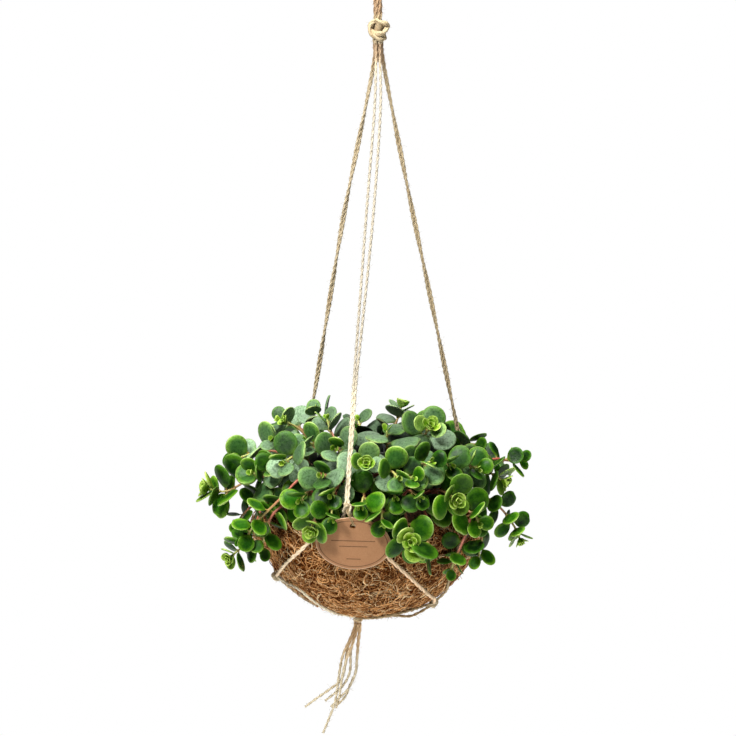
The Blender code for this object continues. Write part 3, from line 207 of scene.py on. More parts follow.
def resample(path, count):
    """The path's points, moved so that they are evenly spaced along it."""
    reach = [0.0]
    for a, b in zip(path, path[1:]):
        reach.append(reach[-1] + (b - a).length)
    out = []
    place = 0
    for k in range(count):
        want = reach[-1] * k / (count - 1)
        while place < len(path) - 2 and reach[place + 1] < want:
            place += 1
        share = (want - reach[place]) / max(reach[place + 1] - reach[place], 1e-12)
        out.append(path[place].lerp(path[place + 1], share))
    return out


def length_of(path):
    return sum((b - a).length for a, b in zip(path, path[1:]))


def bowl_point(below, inset=0.0):
    """Radius and height, in millimetres, of the bowl's side at an angle under the rim plane."""
    wide = abs(math.cos(below)) / (BOWL_RADIUS - inset)
    deep = abs(math.sin(below)) / (BOWL_DEPTH - inset)
    reach = (wide**BOWL_FULLNESS + deep**BOWL_FULLNESS) ** (-1 / BOWL_FULLNESS)
    return reach * math.cos(below), -reach * math.sin(below)


def round_bowl(azimuth, drop, stand=TWINE / 2 + 2 * GAP):
    """Millimetre place standing off the bowl, by azimuth from the front and angle under the rim."""
    angle = math.radians(azimuth)
    flat, height = bowl_point(math.radians(drop), -stand)
    return (flat * math.sin(angle), -flat * math.cos(angle), height)


class Skin:
    """Collects vertices, faces and per-vertex numbers for one mesh."""

    def __init__(self):
        self.verts = []
        self.faces = []
        self.marks = {}
        self.count = 0

    def add(self, verts, faces, **marks):
        """marks are one number for all the new vertices, or one for each."""
        verts = np.asarray(verts, float).reshape(-1, 3)
        self.verts.append(verts)
        self.faces += [tuple(int(i) + self.count for i in face) for face in faces]
        for name, value in marks.items():
            values = np.broadcast_to(np.asarray(value, float), (len(verts),))
            self.marks.setdefault(name, []).append(values)
        self.count += len(verts)

    def build(self, name, look):
        mesh = bpy.data.meshes.new(name)
        mesh.from_pydata(np.concatenate(self.verts).tolist(), [], self.faces)
        for mark, values in self.marks.items():
            layer = mesh.attributes.new(mark, "FLOAT", "POINT")
            layer.data.foreach_set("value", np.concatenate(values).astype(np.float32))
        mesh.shade_smooth()
        mesh.materials.append(look)
        piece = bpy.data.objects.new(name, mesh)
        bpy.context.scene.collection.objects.link(piece)
        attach(piece, "root")
        return piece


def frames_along(path):
    """Places, directions and two square directions, carried along the path without twist."""
    places = np.array([tuple(p) for p in path])
    along = np.gradient(places, axis=0)
    along /= np.linalg.norm(along, axis=1)[:, None]
    across = np.empty_like(along)
    start = np.array([0.0, 0.0, 1.0]) if abs(along[0][2]) < 0.9 else np.array([0.0, 1.0, 0.0])
    current = start
    for k, direction in enumerate(along):
        current = current - direction * current.dot(direction)
        current = current / np.linalg.norm(current)
        across[k] = current
    return places, along, across, np.cross(along, across)


def tube_faces(rings, sides):
    """Faces of a closed tube whose vertices run ring by ring."""
    faces = []
    for ring in range(rings - 1):
        low = ring * sides
        for k in range(sides):
            n = (k + 1) % sides
            faces.append((low + k, low + n, low + sides + n, low + sides + k))
    last = (rings - 1) * sides
    faces.append(tuple(range(sides))[::-1])
    faces.append(tuple(range(last, last + sides)))
    return faces


def add_tube(skin, path, radii, sides, **marks):
    """A round tube along the path, with a radius for each place."""
    places, _, across, second = frames_along(path)
    turn = np.array(spread(0, math.tau, sides))
    rings = places[:, None, :] + np.asarray(radii)[:, None, None] * (
        np.cos(turn)[None, :, None] * across[:, None, :] + np.sin(turn)[None, :, None] * second[:, None, :]
    )
    wide = {name: np.repeat(v, sides) if np.ndim(v) else v for name, v in marks.items()}
    skin.add(rings, tube_faces(len(places), sides), **wide)


# ---------------------------------------------------------------- materials


def colour(red, green, blue):
    """Linear colour from sRGB values of 0 to 255."""
    def linear(value):
        share = value / 255
        return share / 12.92 if share <= 0.04045 else ((share + 0.055) / 1.055) ** 2.4
    return (linear(red), linear(green), linear(blue), 1.0)


class Nodes:
    """Short names for the nodes that the materials are made of."""

    def __init__(self, name):
        self.look = bpy.data.materials.new(name)
        self.look.use_nodes = True
        self.tree = self.look.node_tree
        self.shader = self.tree.nodes["Principled BSDF"]

    def link(self, source, target):
        if isinstance(source, bpy.types.NodeSocket):
            self.tree.links.new(source, target)
        else:
            target.default_value = source

    def mark(self, name):
        node = self.tree.nodes.new("ShaderNodeAttribute")
        node.attribute_name = name
        return node.outputs["Fac"]

    def place(self):
        return self.tree.nodes.new("ShaderNodeTexCoord").outputs["Object"]

    def height(self):
        node = self.tree.nodes.new("ShaderNodeSeparateXYZ")
        self.link(self.place(), node.inputs["Vector"])
        return node.outputs["Z"]

    def stretched(self, vector, scale):
        node = self.tree.nodes.new("ShaderNodeMapping")
        node.inputs["Scale"].default_value = scale
        self.link(vector, node.inputs["Vector"])
        return node.outputs["Vector"]

    def noise(self, scale, detail=3.0, vector=None, rough=0.55):
        node = self.tree.nodes.new("ShaderNodeTexNoise")
        node.inputs["Scale"].default_value = scale
        node.inputs["Detail"].default_value = detail
        node.inputs["Roughness"].default_value = rough
        self.link(vector if vector else self.place(), node.inputs["Vector"])
        return node.outputs["Fac"]

    def spots(self, scale, vector=None):
        node = self.tree.nodes.new("ShaderNodeTexVoronoi")
        node.inputs["Scale"].default_value = scale
        self.link(vector if vector else self.place(), node.inputs["Vector"])
        return node.outputs["Distance"]

    def ramp(self, value, low, high, start=0.0, end=1.0):
        node = self.tree.nodes.new("ShaderNodeMapRange")
        node.interpolation_type = "SMOOTHSTEP"
        node.inputs["From Min"].default_value = low
        node.inputs["From Max"].default_value = high
        node.inputs["To Min"].default_value = start
        node.inputs["To Max"].default_value = end
        self.link(value, node.inputs["Value"])
        return node.outputs["Result"]

    def math(self, kind, one, two=0.0):
        node = self.tree.nodes.new("ShaderNodeMath")
        node.operation = kind
        self.link(one, node.inputs[0])
        self.link(two, node.inputs[1])
        return node.outputs[0]

    def times(self, one, two):
        return self.math("MULTIPLY", one, two)

    def mix(self, share, one, two):
        node = self.tree.nodes.new("ShaderNodeMix")
        node.data_type = "RGBA"
        self.link(share, node.inputs["Factor"])
        self.link(one, node.inputs[6])
        self.link(two, node.inputs[7])
        return node.outputs[2]

    def bump(self, height, strength, distance, under=None):
        node = self.tree.nodes.new("ShaderNodeBump")
        node.inputs["Strength"].default_value = strength
        node.inputs["Distance"].default_value = distance
        self.link(height, node.inputs["Height"])
        if under:
            self.link(under, node.inputs["Normal"])
        return node.outputs["Normal"]

    def finish(self, base, rough, normal=None, specular=0.5):
        self.link(base, self.shader.inputs["Base Color"])
        self.link(rough, self.shader.inputs["Roughness"])
        self.shader.inputs["Specular IOR Level"].default_value = specular
        if normal:
            self.link(normal, self.shader.inputs["Normal"])
        return self.look


def leaf_look():
    """Fleshy leaf: yellow-green young leaves, grey bloom with painted sheen on the old ones on top, painted
    shading from a dark middle to lighter edges, a pale rim that is partly painted rim light, and painted
    shade deep in the clump.
    """
    n = Nodes("leaf")
    age = n.mark("age")
    luck = n.mark("luck")
    edge = n.mark("edge")
    along = n.mark("along")
    bloom = n.mark("bloom")
    # Painted shading: each old leaf is darkest in its middle and lighter towards its edges, standing in for
    # the light on a domed fleshy leaf.
    deep = n.mix(luck, colour(0, 25, 0), colour(32, 88, 2))
    mid = n.mix(luck, colour(44, 98, 4), colour(120, 168, 36))
    old = n.mix(n.ramp(edge, 0.5, 1.0, 0.0, 0.85), deep, mid)
    # Painted shading: young leaves are lighter towards their edges.
    core = n.mix(luck, colour(92, 142, 14), colour(140, 180, 34))
    painted_light_edge = n.mix(luck, colour(160, 196, 74), colour(196, 220, 104))
    young = n.mix(n.ramp(edge, 0.3, 0.95), core, painted_light_edge)
    base = n.mix(n.ramp(age, 0.0, 0.5), young, old)
    mottle = n.noise(900.0, 4.0)
    patch = n.noise(150.0, 2.0)
    base = n.mix(n.ramp(patch, 0.4, 0.7, 0.0, 0.3), base, colour(72, 124, 16))
    # Grey wax bloom with painted sheen: greyer on leaves that face up and on the lit left side of the clump.
    dust_and_sheen = n.times(bloom, n.ramp(mottle, 0.25, 0.65, 0.6, 1.0))
    base = n.mix(dust_and_sheen, base, colour(156, 186, 148))
    pores = n.spots(1900.0)
    dots = n.times(n.ramp(pores, 0.0, 0.4, 0.5, 0.0), n.ramp(bloom, 0.0, 0.6, 0.15, 1.0))
    base = n.mix(dots, base, colour(190, 210, 176))
    speck = n.noise(620.0, 4.0, rough=0.7)
    base = n.mix(n.ramp(speck, 0.38, 0.52, 0.5, 0.0), base, colour(6, 40, 0))
    foot = n.ramp(along, 0.08, 0.34, 0.5, 0.0)
    base = n.mix(foot, base, colour(104, 144, 30))
    stalk = n.ramp(along, 0.02, 0.14, 0.7, 0.0)
    base = n.mix(stalk, base, colour(178, 132, 92))
    # Thin pale margin of the leaf, partly painted rim light.
    rim = n.times(n.ramp(edge, 0.93, 0.99), n.ramp(luck, 0.0, 1.0, 0.1, 0.55))
    base = n.mix(rim, base, colour(200, 218, 132))
    # Painted shade: leaves deep inside the clump are darkened.
    base = n.mix(n.mark("shade"), base, colour(2, 16, 0))
    rough = n.math("ADD", n.ramp(mottle, 0.3, 0.7, 0.30, 0.42), n.times(bloom, 0.14))
    fine = n.bump(pores, 0.12, 0.0003)
    normal = n.bump(n.noise(240.0, 2.0), 0.25, 0.0012, fine)
    return n.finish(base, rough, normal, 0.12)


def stem_look():
    n = Nodes("stem")
    young = n.mark("young")
    luck = n.mark("luck")
    base = n.mix(n.noise(320.0, 3.0), colour(168, 92, 74), colour(205, 146, 118))
    red = n.mix(n.noise(200.0, 2.0), colour(150, 58, 46), colour(190, 104, 80))
    base = n.mix(luck, base, red)
    base = n.mix(n.ramp(young, 0.55, 1.0), base, colour(172, 182, 96))
    scars = n.spots(420.0)
    base = n.mix(n.ramp(scars, 0.0, 0.2, 0.35, 0.0), base, colour(96, 62, 44))
    return n.finish(base, 0.5, n.bump(scars, 0.3, 0.0004), 0.4)


def twine_look():
    """Jute: fine strands along each ply, with a pale or a tan tone by piece."""
    n = Nodes("twine")
    tone = n.mark("tone")
    run = n.mark("run")
    ply = n.noise(1500.0, 4.0)
    pale = n.mix(ply, colour(206, 192, 156), colour(252, 244, 220))
    tan = n.mix(ply, colour(112, 90, 54), colour(190, 164, 118))
    peach = n.mix(ply, colour(226, 182, 138), colour(255, 230, 194))
    base = n.mix(n.ramp(tone, 1.0, 2.0), n.mix(n.ramp(tone, 0.0, 1.0), tan, pale), peach)
    # Painted shade where the two plies press together.
    painted_groove_shade = n.ramp(run, 0.0, 0.5, 0.5, 0.0)
    base = n.mix(painted_groove_shade, base, colour(96, 70, 40))
    stain = n.ramp(n.noise(120.0, 3.0), 0.5, 0.72, 0.0, 0.45)
    base = n.mix(stain, base, colour(146, 118, 76))
    # Painted shade: darker brown on the strands just under the top knot and on the loop above it.
    under = n.times(n.ramp(n.height(), -0.094, -0.078, 0.0, 0.85),
                   n.ramp(n.height(), -0.0715, -0.0695, 1.0, 0.0))
    worn = n.times(n.ramp(n.height(), -0.345, -0.315, 0.0, 0.9),
                   n.ramp(n.height(), -0.1, -0.08, 1.0, 0.0))
    worn = n.times(worn, n.ramp(tone, 0.3, 0.7))
    base = n.mix(worn, base, n.mix(ply, colour(110, 100, 84), colour(214, 204, 184)))
    painted_knot_shade = n.math("ADD", under, n.ramp(n.height(), -0.051, -0.046, 0.0, 0.9))
    base = n.mix(painted_knot_shade, base, n.mix(ply, colour(112, 84, 58), colour(190, 158, 124)))
    # Painted light: the tops of the tails, in the bowl's shadow, are lightened to a warm tan.
    painted_light_on_tails = n.times(n.ramp(n.height(), -0.572, -0.548, 0.0, 0.6),
                     n.ramp(n.height(), -0.536, -0.530, 1.0, 0.0))
    base = n.mix(painted_light_on_tails, base, n.mix(ply, colour(214, 168, 112), colour(255, 222, 172)))
    return n.finish(base, 0.85, n.bump(ply, 0.5, 0.0003), 0.2)


def coir_look(name, dark, light, bright):
    n = Nodes(name)
    tone = n.mark("tone")
    base = n.mix(n.ramp(tone, 0.0, 0.62), dark, light)
    base = n.mix(n.ramp(tone, 0.6, 1.0), base, bright)
    base = n.mix(n.ramp(n.noise(700.0, 3.0), 0.3, 0.7, 0.0, 0.35), base, dark)
    return n.finish(base, 0.85, n.bump(n.noise(2400.0, 2.0), 0.3, 0.0002), 0.05)


def soil_look():
    n = Nodes("soil")
    crumbs = n.noise(420.0, 6.0, rough=0.7)
    base = n.mix(n.ramp(crumbs, 0.3, 0.7), colour(26, 16, 9), colour(98, 66, 40))
    return n.finish(base, 0.95, n.bump(crumbs, 0.9, 0.002), 0.2)


def matted_look():
    """The felt under the loose coir fibres; its near-black gaps are painted shade between the fibres."""
    n = Nodes("coir_felt")
    long = n.noise(300.0, 5.0, rough=0.7)
    cross = n.noise(900.0, 4.0, n.stretched(n.place(), (1.0, 1.0, 0.25)))
    mixed = n.times(long, cross)
    # Painted shade: the felt is near black where it shows between the fibres.
    base = n.mix(n.ramp(mixed, 0.16, 0.36), colour(24, 7, 0), colour(132, 72, 22))
    return n.finish(base, 0.95, n.bump(mixed, 1.0, 0.002), 0.05)


# ---------------------------------------------------------------- twine

TOP_KNOT = (6.0, 0.0, 438.0 - KNOT_DROP)
FRONT_KNOT = (-17.6, -96.5, 20.7)
RIGHT_KNOT = (79.5, 52.0, 15.0)
LEFT_KNOT = (-57.5, 75.5, 15.0)
LOW_LEFT_KNOT = round_bowl(-74.0, 34.0, 3.6)
LOW_RIGHT_KNOT = round_bowl(69.0, 54.0, 3.6)
LOW_BACK_KNOT = round_bowl(174.0, 45.0, 4.5)
BOTTOM_KNOT = (-10.0, 3.0, -93.4)

# Name, place, radius, height, direction, number of strands and how pale the twine is
KNOTS = [
    ("top_knot", TOP_KNOT, 5.6, TOP_KNOT_HEIGHT, (0.25, -0.35, 1.0), 0, 0.8),
    ("front_knot", FRONT_KNOT, 4.0, 8.6, (-0.1, -0.25, 1.0), 2, 0.8),
    ("right_knot", RIGHT_KNOT, 4.0, 8.6, (0.2, 0.15, 1.0), 2, 0.4),
    ("left_knot", LEFT_KNOT, 4.0, 8.6, (-0.15, 0.2, 1.0), 2, 0.4),
    ("low_left_knot", LOW_LEFT_KNOT, 3.9, 8.2, (-0.8, 0.3, 0.5), 2, 0.8),
    ("low_right_knot", LOW_RIGHT_KNOT, 3.9, 8.2, (0.8, 0.2, 0.7), 2, 0.55),
    ("low_back_knot", LOW_BACK_KNOT, 3.9, 8.2, (0.0, 0.6, 0.8), 2, 0.5),
    ("bottom_knot", BOTTOM_KNOT, 4.4, 7.6, (-0.1, 0.0, 1.0), 2, 0.6),
]
PLACES = {name: place for name, place, *_ in KNOTS}

# Thick bands round the top knot, from its middle: the lower one lies over the others
TOP_KNOT_BANDS = [
    [(0.5, 2.0, 7.2), (-3.4, -2.6, 6.6), (-6.0, -3.2, 3.6), (-5.2, -4.8, -0.6), (-2.0, -6.0, -4.2),
     (2.2, -5.0, -6.0), (4.6, -0.8, -5.4), (4.6, 3.6, -2.4)],
    [(6.2, 2.5, 4.6), (6.6, -1.6, 3.0), (4.8, -4.8, -0.4), (1.4, -5.6, -2.2), (-2.6, -4.0, -0.6),
     (-5.4, 0.6, 1.4), (-4.4, 4.2, 3.0)],
    [(-1.2, -2.0, 7.4), (2.2, -4.4, 6.4), (5.6, -3.8, 5.4), (7.0, 0.2, 3.2), (5.0, 4.0, 0.0),
     (0.0, 5.4, -1.5)],
    [(-5.0, 2.0, -1.0), (-1.0, 5.6, -3.0), (3.4, 4.6, 3.0), (1.0, 3.8, 6.4), (-3.0, 3.2, 5.6)],
    [(-2.0, 0.6, 6.4), (-4.2, 0.4, 3.6), (-4.4, 0.2, 0.2), (-2.4, 0.6, -3.2), (1.4, 1.0, -4.6)],
]
BAND_REACH = 1.08  # the bands' places are drawn out by this much
BAND_TWINE = 4.0
NECK = ((2.6, 374), (2.5, 368), (2.3, 362), (1.9, 357), (1.4, 353))  # reach and height under the top knot
KNOT_STEPS = 90
STRAND_TONES = (1.0, 0.6)

PAIR_LEFT = [(3.6, 1.2, 377), (3.6, 2.6, 357), (-4, 13, 315), (-20, 29.5, 235), (-33, 46, 157),
             (-46.5, 62.5, 74)]
PAIR_RIGHT = [(8.6, 1.2, 377), (9.6, 2.6, 357), (17.4, 9, 315), (31.8, 19, 243), (50.5, 32, 154),
              (71.4, 46.5, 53)]
PAIR_STEPS = 32
FRONT_A = [(4.6, -2.6, 377), (4.6, -5.0, 357), (3.4, -16, 317), (-2.6, -36, 242), (-7.7, -54, 175),
           (-12.8, -70, 115), (-15.8, -82, 71), (-18.4, -91.8, 35), (-19.0, -96.5, 20.7)]
FRONT_B = [(7.4, -2.6, 377), (7.6, -5.0, 357), (8.0, -16, 317), (2.8, -36, 242), (-3.9, -54, 175),
           (-10.0, -70, 115), (-13.1, -82, 71), (-15.7, -91.8, 35), (-16.2, -96.5, 20.7)]

# Strands on the bowl: azimuth from the front and angle under the rim, then how pale each is
NET = [
    ("net_front_left", "front_knot", "low_left_knot",
     [(-14, -6), (-18, -4), (-23.4, 0), (-30, 5.5), (-36.5, 11.5), (-48.8, 20.3), (-62, 28.5)], 1.5),
    ("net_front_right", "front_knot", "low_right_knot",
     [(-8, -6), (-5, -2), (6.7, 10.2), (15.2, 18.7), (27.5, 30), (43, 41.5), (57, 48)], 1.8),
    ("net_right_front", "right_knot", "low_right_knot",
     [(108, -3), (92, -2), (74, 0), (57, 6), (49, 12), (49, 24), (55, 35), (66, 44)], 0.3),
    ("net_right_back", "right_knot", "low_back_knot",
     [(129, 4), (140, 18), (154, 32), (166, 41)], 0.5),
    ("net_left_back", "left_knot", "low_back_knot",
     [(214, 4), (205, 18), (194, 31), (183, 41)], 0.5),
    ("net_left_front", "left_knot", "low_left_knot",
     [(228, 2), (243, 14), (258, 25), (270, 33)], 0.5),
    ("base_left_a", "low_left_knot", "bottom_knot",
     [(-64, 36.5), (-56, 37), (-50, 39), (-47, 45), (-44, 53), (-44, 64), (-54, 75)], 0.9),
    ("base_left_b", "low_left_knot", "bottom_knot",
     [(-75, 45), (-72, 53), (-74, 62), (-90, 74)], 0.5),
    ("base_right_a", "low_right_knot", "bottom_knot",
     [(58, 57), (42, 57), (26, 60), (6, 66), (-18, 76)], 0.2),
    ("base_back_a", "low_back_knot", "bottom_knot",
     [(166, 52), (162, 64), (168, 76)], 0.5),
    ("base_back_b", "low_back_knot", "bottom_knot",
     [(183, 52), (192, 64), (206, 76)], 0.5),
]
SLACK = [(45, -15, -80.4), (38, -16, -84.2), (31, -15, -87.0), round_bowl(50, 74), round_bowl(20, 80)]
TAILS = [
    ("tail_1", [(-12.0, 1.8, -97.7), (-12.4, 1.4, -101), (-16.1, -2.2, -109.5), (-21.8, -3, -122.6),
                (-24.6, -3.8, -136.6), (-26.7, -4.6, -151.5), (-28.3, -5.4, -162), (-32.4, -6.2, -173),
                (-38, -7, -187)]),
    ("tail_2", [(-12.0, 4.2, -97.7), (-12.4, 4.1, -101), (-15.3, 0.4, -110), (-18.4, -0.2, -119),
                (-20.2, -1, -133.3), (-23.5, -1.7, -144), (-32.4, -2.3, -151.4), (-42.9, -2.9, -158.8),
                (-52.6, -3.5, -166)]),
    ("tail_3", [(-10.0, 5.4, -97.7), (-10.2, 5.4, -101), (-13.0, 3.2, -110), (-15.6, 2.4, -122),
                (-16.2, 1.4, -137.4), (-21, 1, -148.2), (-28.4, 0.5, -155.6), (-36.5, 0, -162)]),
    ("tail_4", [(-8.0, 4.2, -97.7), (-8.0, 4.3, -101), (-9.6, 5.4, -112), (-10.6, 5, -128),
                (-11.3, 4.4, -138.3), (-16.2, 4.2, -150), (-20.3, 4.1, -160), (-27.6, 4, -167.7)]),
    ("tail_5", [(-8.0, 1.8, -97.7), (-7.9, 1.8, -101), (-9.0, 1.8, -111), (-10.6, 1.6, -128),
                (-12.1, 1.4, -140), (-18.0, 0.8, -152.6), (-25.2, -2, -159.4), (-31.7, -4, -166)]),
    ("tail_6", [(-10.0, 0.6, -97.7), (-10.0, 0.4, -101), (-13.3, -4.4, -110.6), (-18.5, -6.4, -124),
                (-22.0, -7.8, -137.3), (-23.8, -9, -148.6), (-25, -10.2, -156.6), (-27.4, -11.4, -164.6)]),
]

PLY_SIDES = 7
PLY_ASIDE = 0.17  # of the twine's diameter, from its middle to each ply's own middle
PLY_RADIUS = 0.33
TURN_RINGS = 9
TWINE_PITCH = 4.8  # length of one turn of the plies, in diameters
fuzz_starts = []  # places, ways out, sizes and tones of the loose hairs on the twine


def add_twine(skin, path, diameter, tone, hairs=0.9, seed=0, taper=0.0):
    """Two plies twisted round the path. hairs is how many stand out of each millimetre."""
    luck = random.Random(seed)
    length = length_of(path)
    pitch = TWINE_PITCH * diameter * MM
    rings = max(8, round(length / pitch * TURN_RINGS))
    path = resample(path, rings)
    places, along, across, second = frames_along(path)
    share = np.linspace(0, 1, rings)
    thin = 1.0 - taper * share**3
    swell = 1.0 + 0.07 * np.sin(share * length / MM * 0.9 + seed) + 0.05 * np.sin(share * length / MM * 2.3)
    for ply in range(2):
        angle = math.tau * (share * length / pitch + ply / 2) + seed
        aside = np.cos(angle)[:, None] * across + np.sin(angle)[:, None] * second
        middle = places + aside * (PLY_ASIDE * diameter * MM * thin)[:, None]
        radius = PLY_RADIUS * diameter * MM * swell * thin
        turn = np.array(spread(0, math.tau, PLY_SIDES))
        ways = (np.cos(turn)[None, :, None] * across[:, None, :]
                + np.sin(turn)[None, :, None] * second[:, None, :])
        rows = middle[:, None, :] + radius[:, None, None] * ways
        run = np.einsum("rsk,rk->rs", ways, aside) * 0.5 + 0.5
        skin.add(rows, tube_faces(rings, PLY_SIDES), tone=tone, run=run.ravel())
    for _ in range(int(length / MM * hairs)):
        k = luck.randrange(rings)
        way = Matrix.Rotation(luck.uniform(0, math.tau), 3, Vector(along[k])) @ Vector(across[k])
        lean = Vector(along[k]) * luck.uniform(-1.6, 1.6)
        fuzz_starts.append((Vector(places[k]), way, lean, diameter, tone, luck.random()))


def twisted(places, sign):
    """One strand of a pair that twists slowly round the line through the middle places."""
    line = smooth_path([Vector(p) for p in places], PAIR_STEPS + 1)
    out = []
    for k, place in enumerate(line):
        along = (line[min(k + 1, PAIR_STEPS)] - line[max(k - 1, 0)]).normalized()
        across = Vector((0, 1, 0))
        across = (across - along * along.dot(across)).normalized()
        turn = Matrix.Rotation(math.tau * TWIST_TURNS * k / PAIR_STEPS, 3, along)
        out.append(place + turn @ across * sign * PAIR_RADIUS * min(1.0, 0.4 + k / 14))
    return out


def drawn_in(places, other):
    """A strand's places, laid against its neighbour where the two hang close together."""
    out = []
    for place, beside in zip(places, other):
        near = Vector(beside) - Vector(place)
        keep = min(1.0, 1.9 / near.length) if place[2] < 130 else 1.0
        out.append(Vector(place) + near * (1 - keep) / 2)
    return out


def make_cord(name, places, diameter, tone, seed, taper=0.0, swell=1.0):
    """A free strand as its own piece, built along the route that it follows."""
    path = smooth_path([at(*p) for p in places], 240)
    skin = Skin()
    add_twine(skin, path, diameter * swell, tone, seed=seed, taper=taper)
    piece = skin.build(name + "_twine", TWINE_LOOK)
    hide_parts(name)


def make_cords():
    """The six strands that the bowl hangs by and the six cut tails under it."""
    seed = 1
    for side, middle, tone in (("left", PAIR_LEFT, 0.38), ("right", PAIR_RIGHT, 0.34)):
        for letter, sign in (("a", 1), ("b", -1)):
            places = twisted([*middle, PLACES[side + "_knot"]], sign)
            make_cord(f"hanger_{side}_{letter}", places, TWINE, tone, seed)
            seed += 1
    for letter, places in (("a", drawn_in(FRONT_A, FRONT_B)), ("b", drawn_in(FRONT_B, FRONT_A))):
        make_cord(f"hanger_front_{letter}", places, TWINE, 0.75, seed, swell=0.98)
        seed += 1
    for name, route in TAILS:
        make_cord(name, route, TAIL_TWINE, 0.6, seed, taper=0.15, swell=1.2)
        seed += 1


def make_net():
    skin = Skin()
    names = []
    for seed, (name, upper, lower, route, tone) in enumerate(NET):
        places = [PLACES[upper]] + [round_bowl(*step) for step in route] + [PLACES[lower]]
        size = TWINE * (1.3 if upper == "front_knot" else 1.0)
        add_twine(skin, smooth_path([at(*p) for p in places], 240), size, tone, seed=20 + seed)
        names.append(name)
    places = [LOW_RIGHT_KNOT, *SLACK, BOTTOM_KNOT]
    add_twine(skin, smooth_path([at(*p) for p in places], 240), TWINE, 0.15, seed=40)
    piece = skin.build("net_twine", TWINE_LOOK)
    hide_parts(*names, "base_right_b")


def overhand(place, axis, radius, height, phase):
    """The closed way of an overhand knot, a trefoil, stretched to a knot's radius and height."""
    points = []
    for angle in spread(0, math.tau, KNOT_STEPS) + [math.tau]:
        flat = Vector((math.sin(angle) + 2 * math.sin(2 * angle), math.cos(angle) - 2 * math.cos(2 * angle)))
        spot = Vector((flat.x * radius / 3, flat.y * radius / 3, -math.sin(3 * angle) * height / 2))
        points.append(spot)
    turn = Vector(axis).to_track_quat("Z", "Y").to_matrix() @ Matrix.Rotation(phase, 3, "Z")
    return [at(*place) + (turn @ p) * MM for p in points]


def make_knots():
    """Each knot is an overhand of a few strands laid side by side, drawn tight round its core."""
    skin = Skin()
    for seed, (name, place, radius, height, axis, count, tone) in enumerate(KNOTS):
        size = TWINE * 0.82
        upright = Vector(axis).normalized()
        core = [at(*place) + upright * height * MM * t for t in (-0.5, -0.4, -0.2, 0, 0.2, 0.4, 0.5)]
        girth = [radius * s * MM for s in (0.25, 0.45, 0.62, 0.66, 0.62, 0.45, 0.25)]
        add_tube(skin, core, girth, 12, tone=tone * 0.5, run=0.2)
        for strand in range(count):
            lean = Vector(axis) + Vector((0.12 * strand, 0.0, 0.0))
            step = (strand - (count - 1) / 2) * size * 0.78
            way = overhand(place, lean, radius - size * 0.5, (height - size) * 0.72, seed * 1.3)
            way = [p + upright * step * MM for p in way]
            add_twine(skin, way, size, tone * STRAND_TONES[strand], hairs=0.7, seed=50 + 4 * seed + strand)
    for strand in range(5):
        angle = math.tau * strand / 5 + 0.3
        way = [(6.2 + reach * math.cos(angle) * 1.3, -1.6 + reach * math.sin(angle), height)
               for reach, height in NECK]
        add_twine(skin, smooth_path([at(*p) for p in way], 60), TWINE, 0.5, seed=120 + strand, taper=0.5)
    for seed, way in enumerate(TOP_KNOT_BANDS):
        way = [Vector(TOP_KNOT) + Vector(p) * BAND_REACH for p in way]
        add_twine(skin, smooth_path([at(*p) for p in way], 90), BAND_TWINE, 0.35, hairs=0.6, seed=130 + seed)
    piece = skin.build("knot_twine", TWINE_LOOK)
    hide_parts(*PLACES)


def shank(turn, low, foot, steps):
    """One strand's places between the top knot and the eye, turning a little as it goes."""
    places = []
    for step in steps:
        share = step / 5
        spin = turn + 1.4 * share
        height = low + (foot - low) * share
        places.append((LOOP_TWIST * math.cos(spin), LOOP_TWIST * math.sin(spin), height))
    return places


def make_loop():
    """Three strands that rise from the top knot, open into the hook's eye and come back down."""
    skin = Skin()
    low = -KNOT_DROP + TOP_KNOT_HEIGHT / 2 - 3.0
    foot = LOOP_STRAND / 2 - EYE_HEIGHT
    for strand in range(3):
        turn = math.tau * strand / 3 + 0.4
        points = shank(turn, low, foot, range(5))
        for step in range(1, 20):
            angle = math.tau * step / 20
            swell = math.sin(angle) * math.sin(angle / 2) ** 0.7
            x = EYE_WIDTH / 2 * swell
            z = LOOP_STRAND / 2 - EYE_HEIGHT / 2 * (1 + math.cos(angle))
            spin = turn + angle * 0.5
            out = Vector((x, 0, z + EYE_HEIGHT * 0.45)).normalized()
            aside = LOOP_ASIDE * math.cos(spin)
            points.append((x + aside * out.x, LOOP_ASIDE * math.sin(spin), z + aside * out.z))
        points += shank(turn + math.pi, low, foot, range(5, -1, -1))
        path = smooth_path([Vector(p) * MM for p in points], 300)
        add_twine(skin, path, LOOP_TWINE, 0.3, hairs=1.0, seed=90 + strand)
    piece = skin.build("loop_twine", TWINE_LOOK)
    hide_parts("hanging_loop")


def make_fuzz():
    """The loose hairs of all the twine."""
    luck = random.Random(7)
    paths = []
    radii = []
    tones = []
    for place, way, lean, diameter, tone, share in fuzz_starts:
        reach = (0.7 + 2.6 * share**2.5) * MM
        start = place + way * diameter * 0.40 * MM
        ahead = (way + lean).normalized()
        curl = Vector((luck.uniform(-1, 1), luck.uniform(-1, 1), luck.uniform(-1, 1))) * 0.6
        points = [start]
        for k in range(3):
            points.append(points[-1] + (ahead + curl * k * 0.5).normalized() * reach * 0.45)
        paths.append([tuple(p) for p in points])
        radii.append(luck.uniform(0.05, 0.10) * MM)
        tones.append(min(1.0, tone + 0.2))
    return hair_piece("twine_fuzz", paths, radii, tones, TWINE_LOOK)


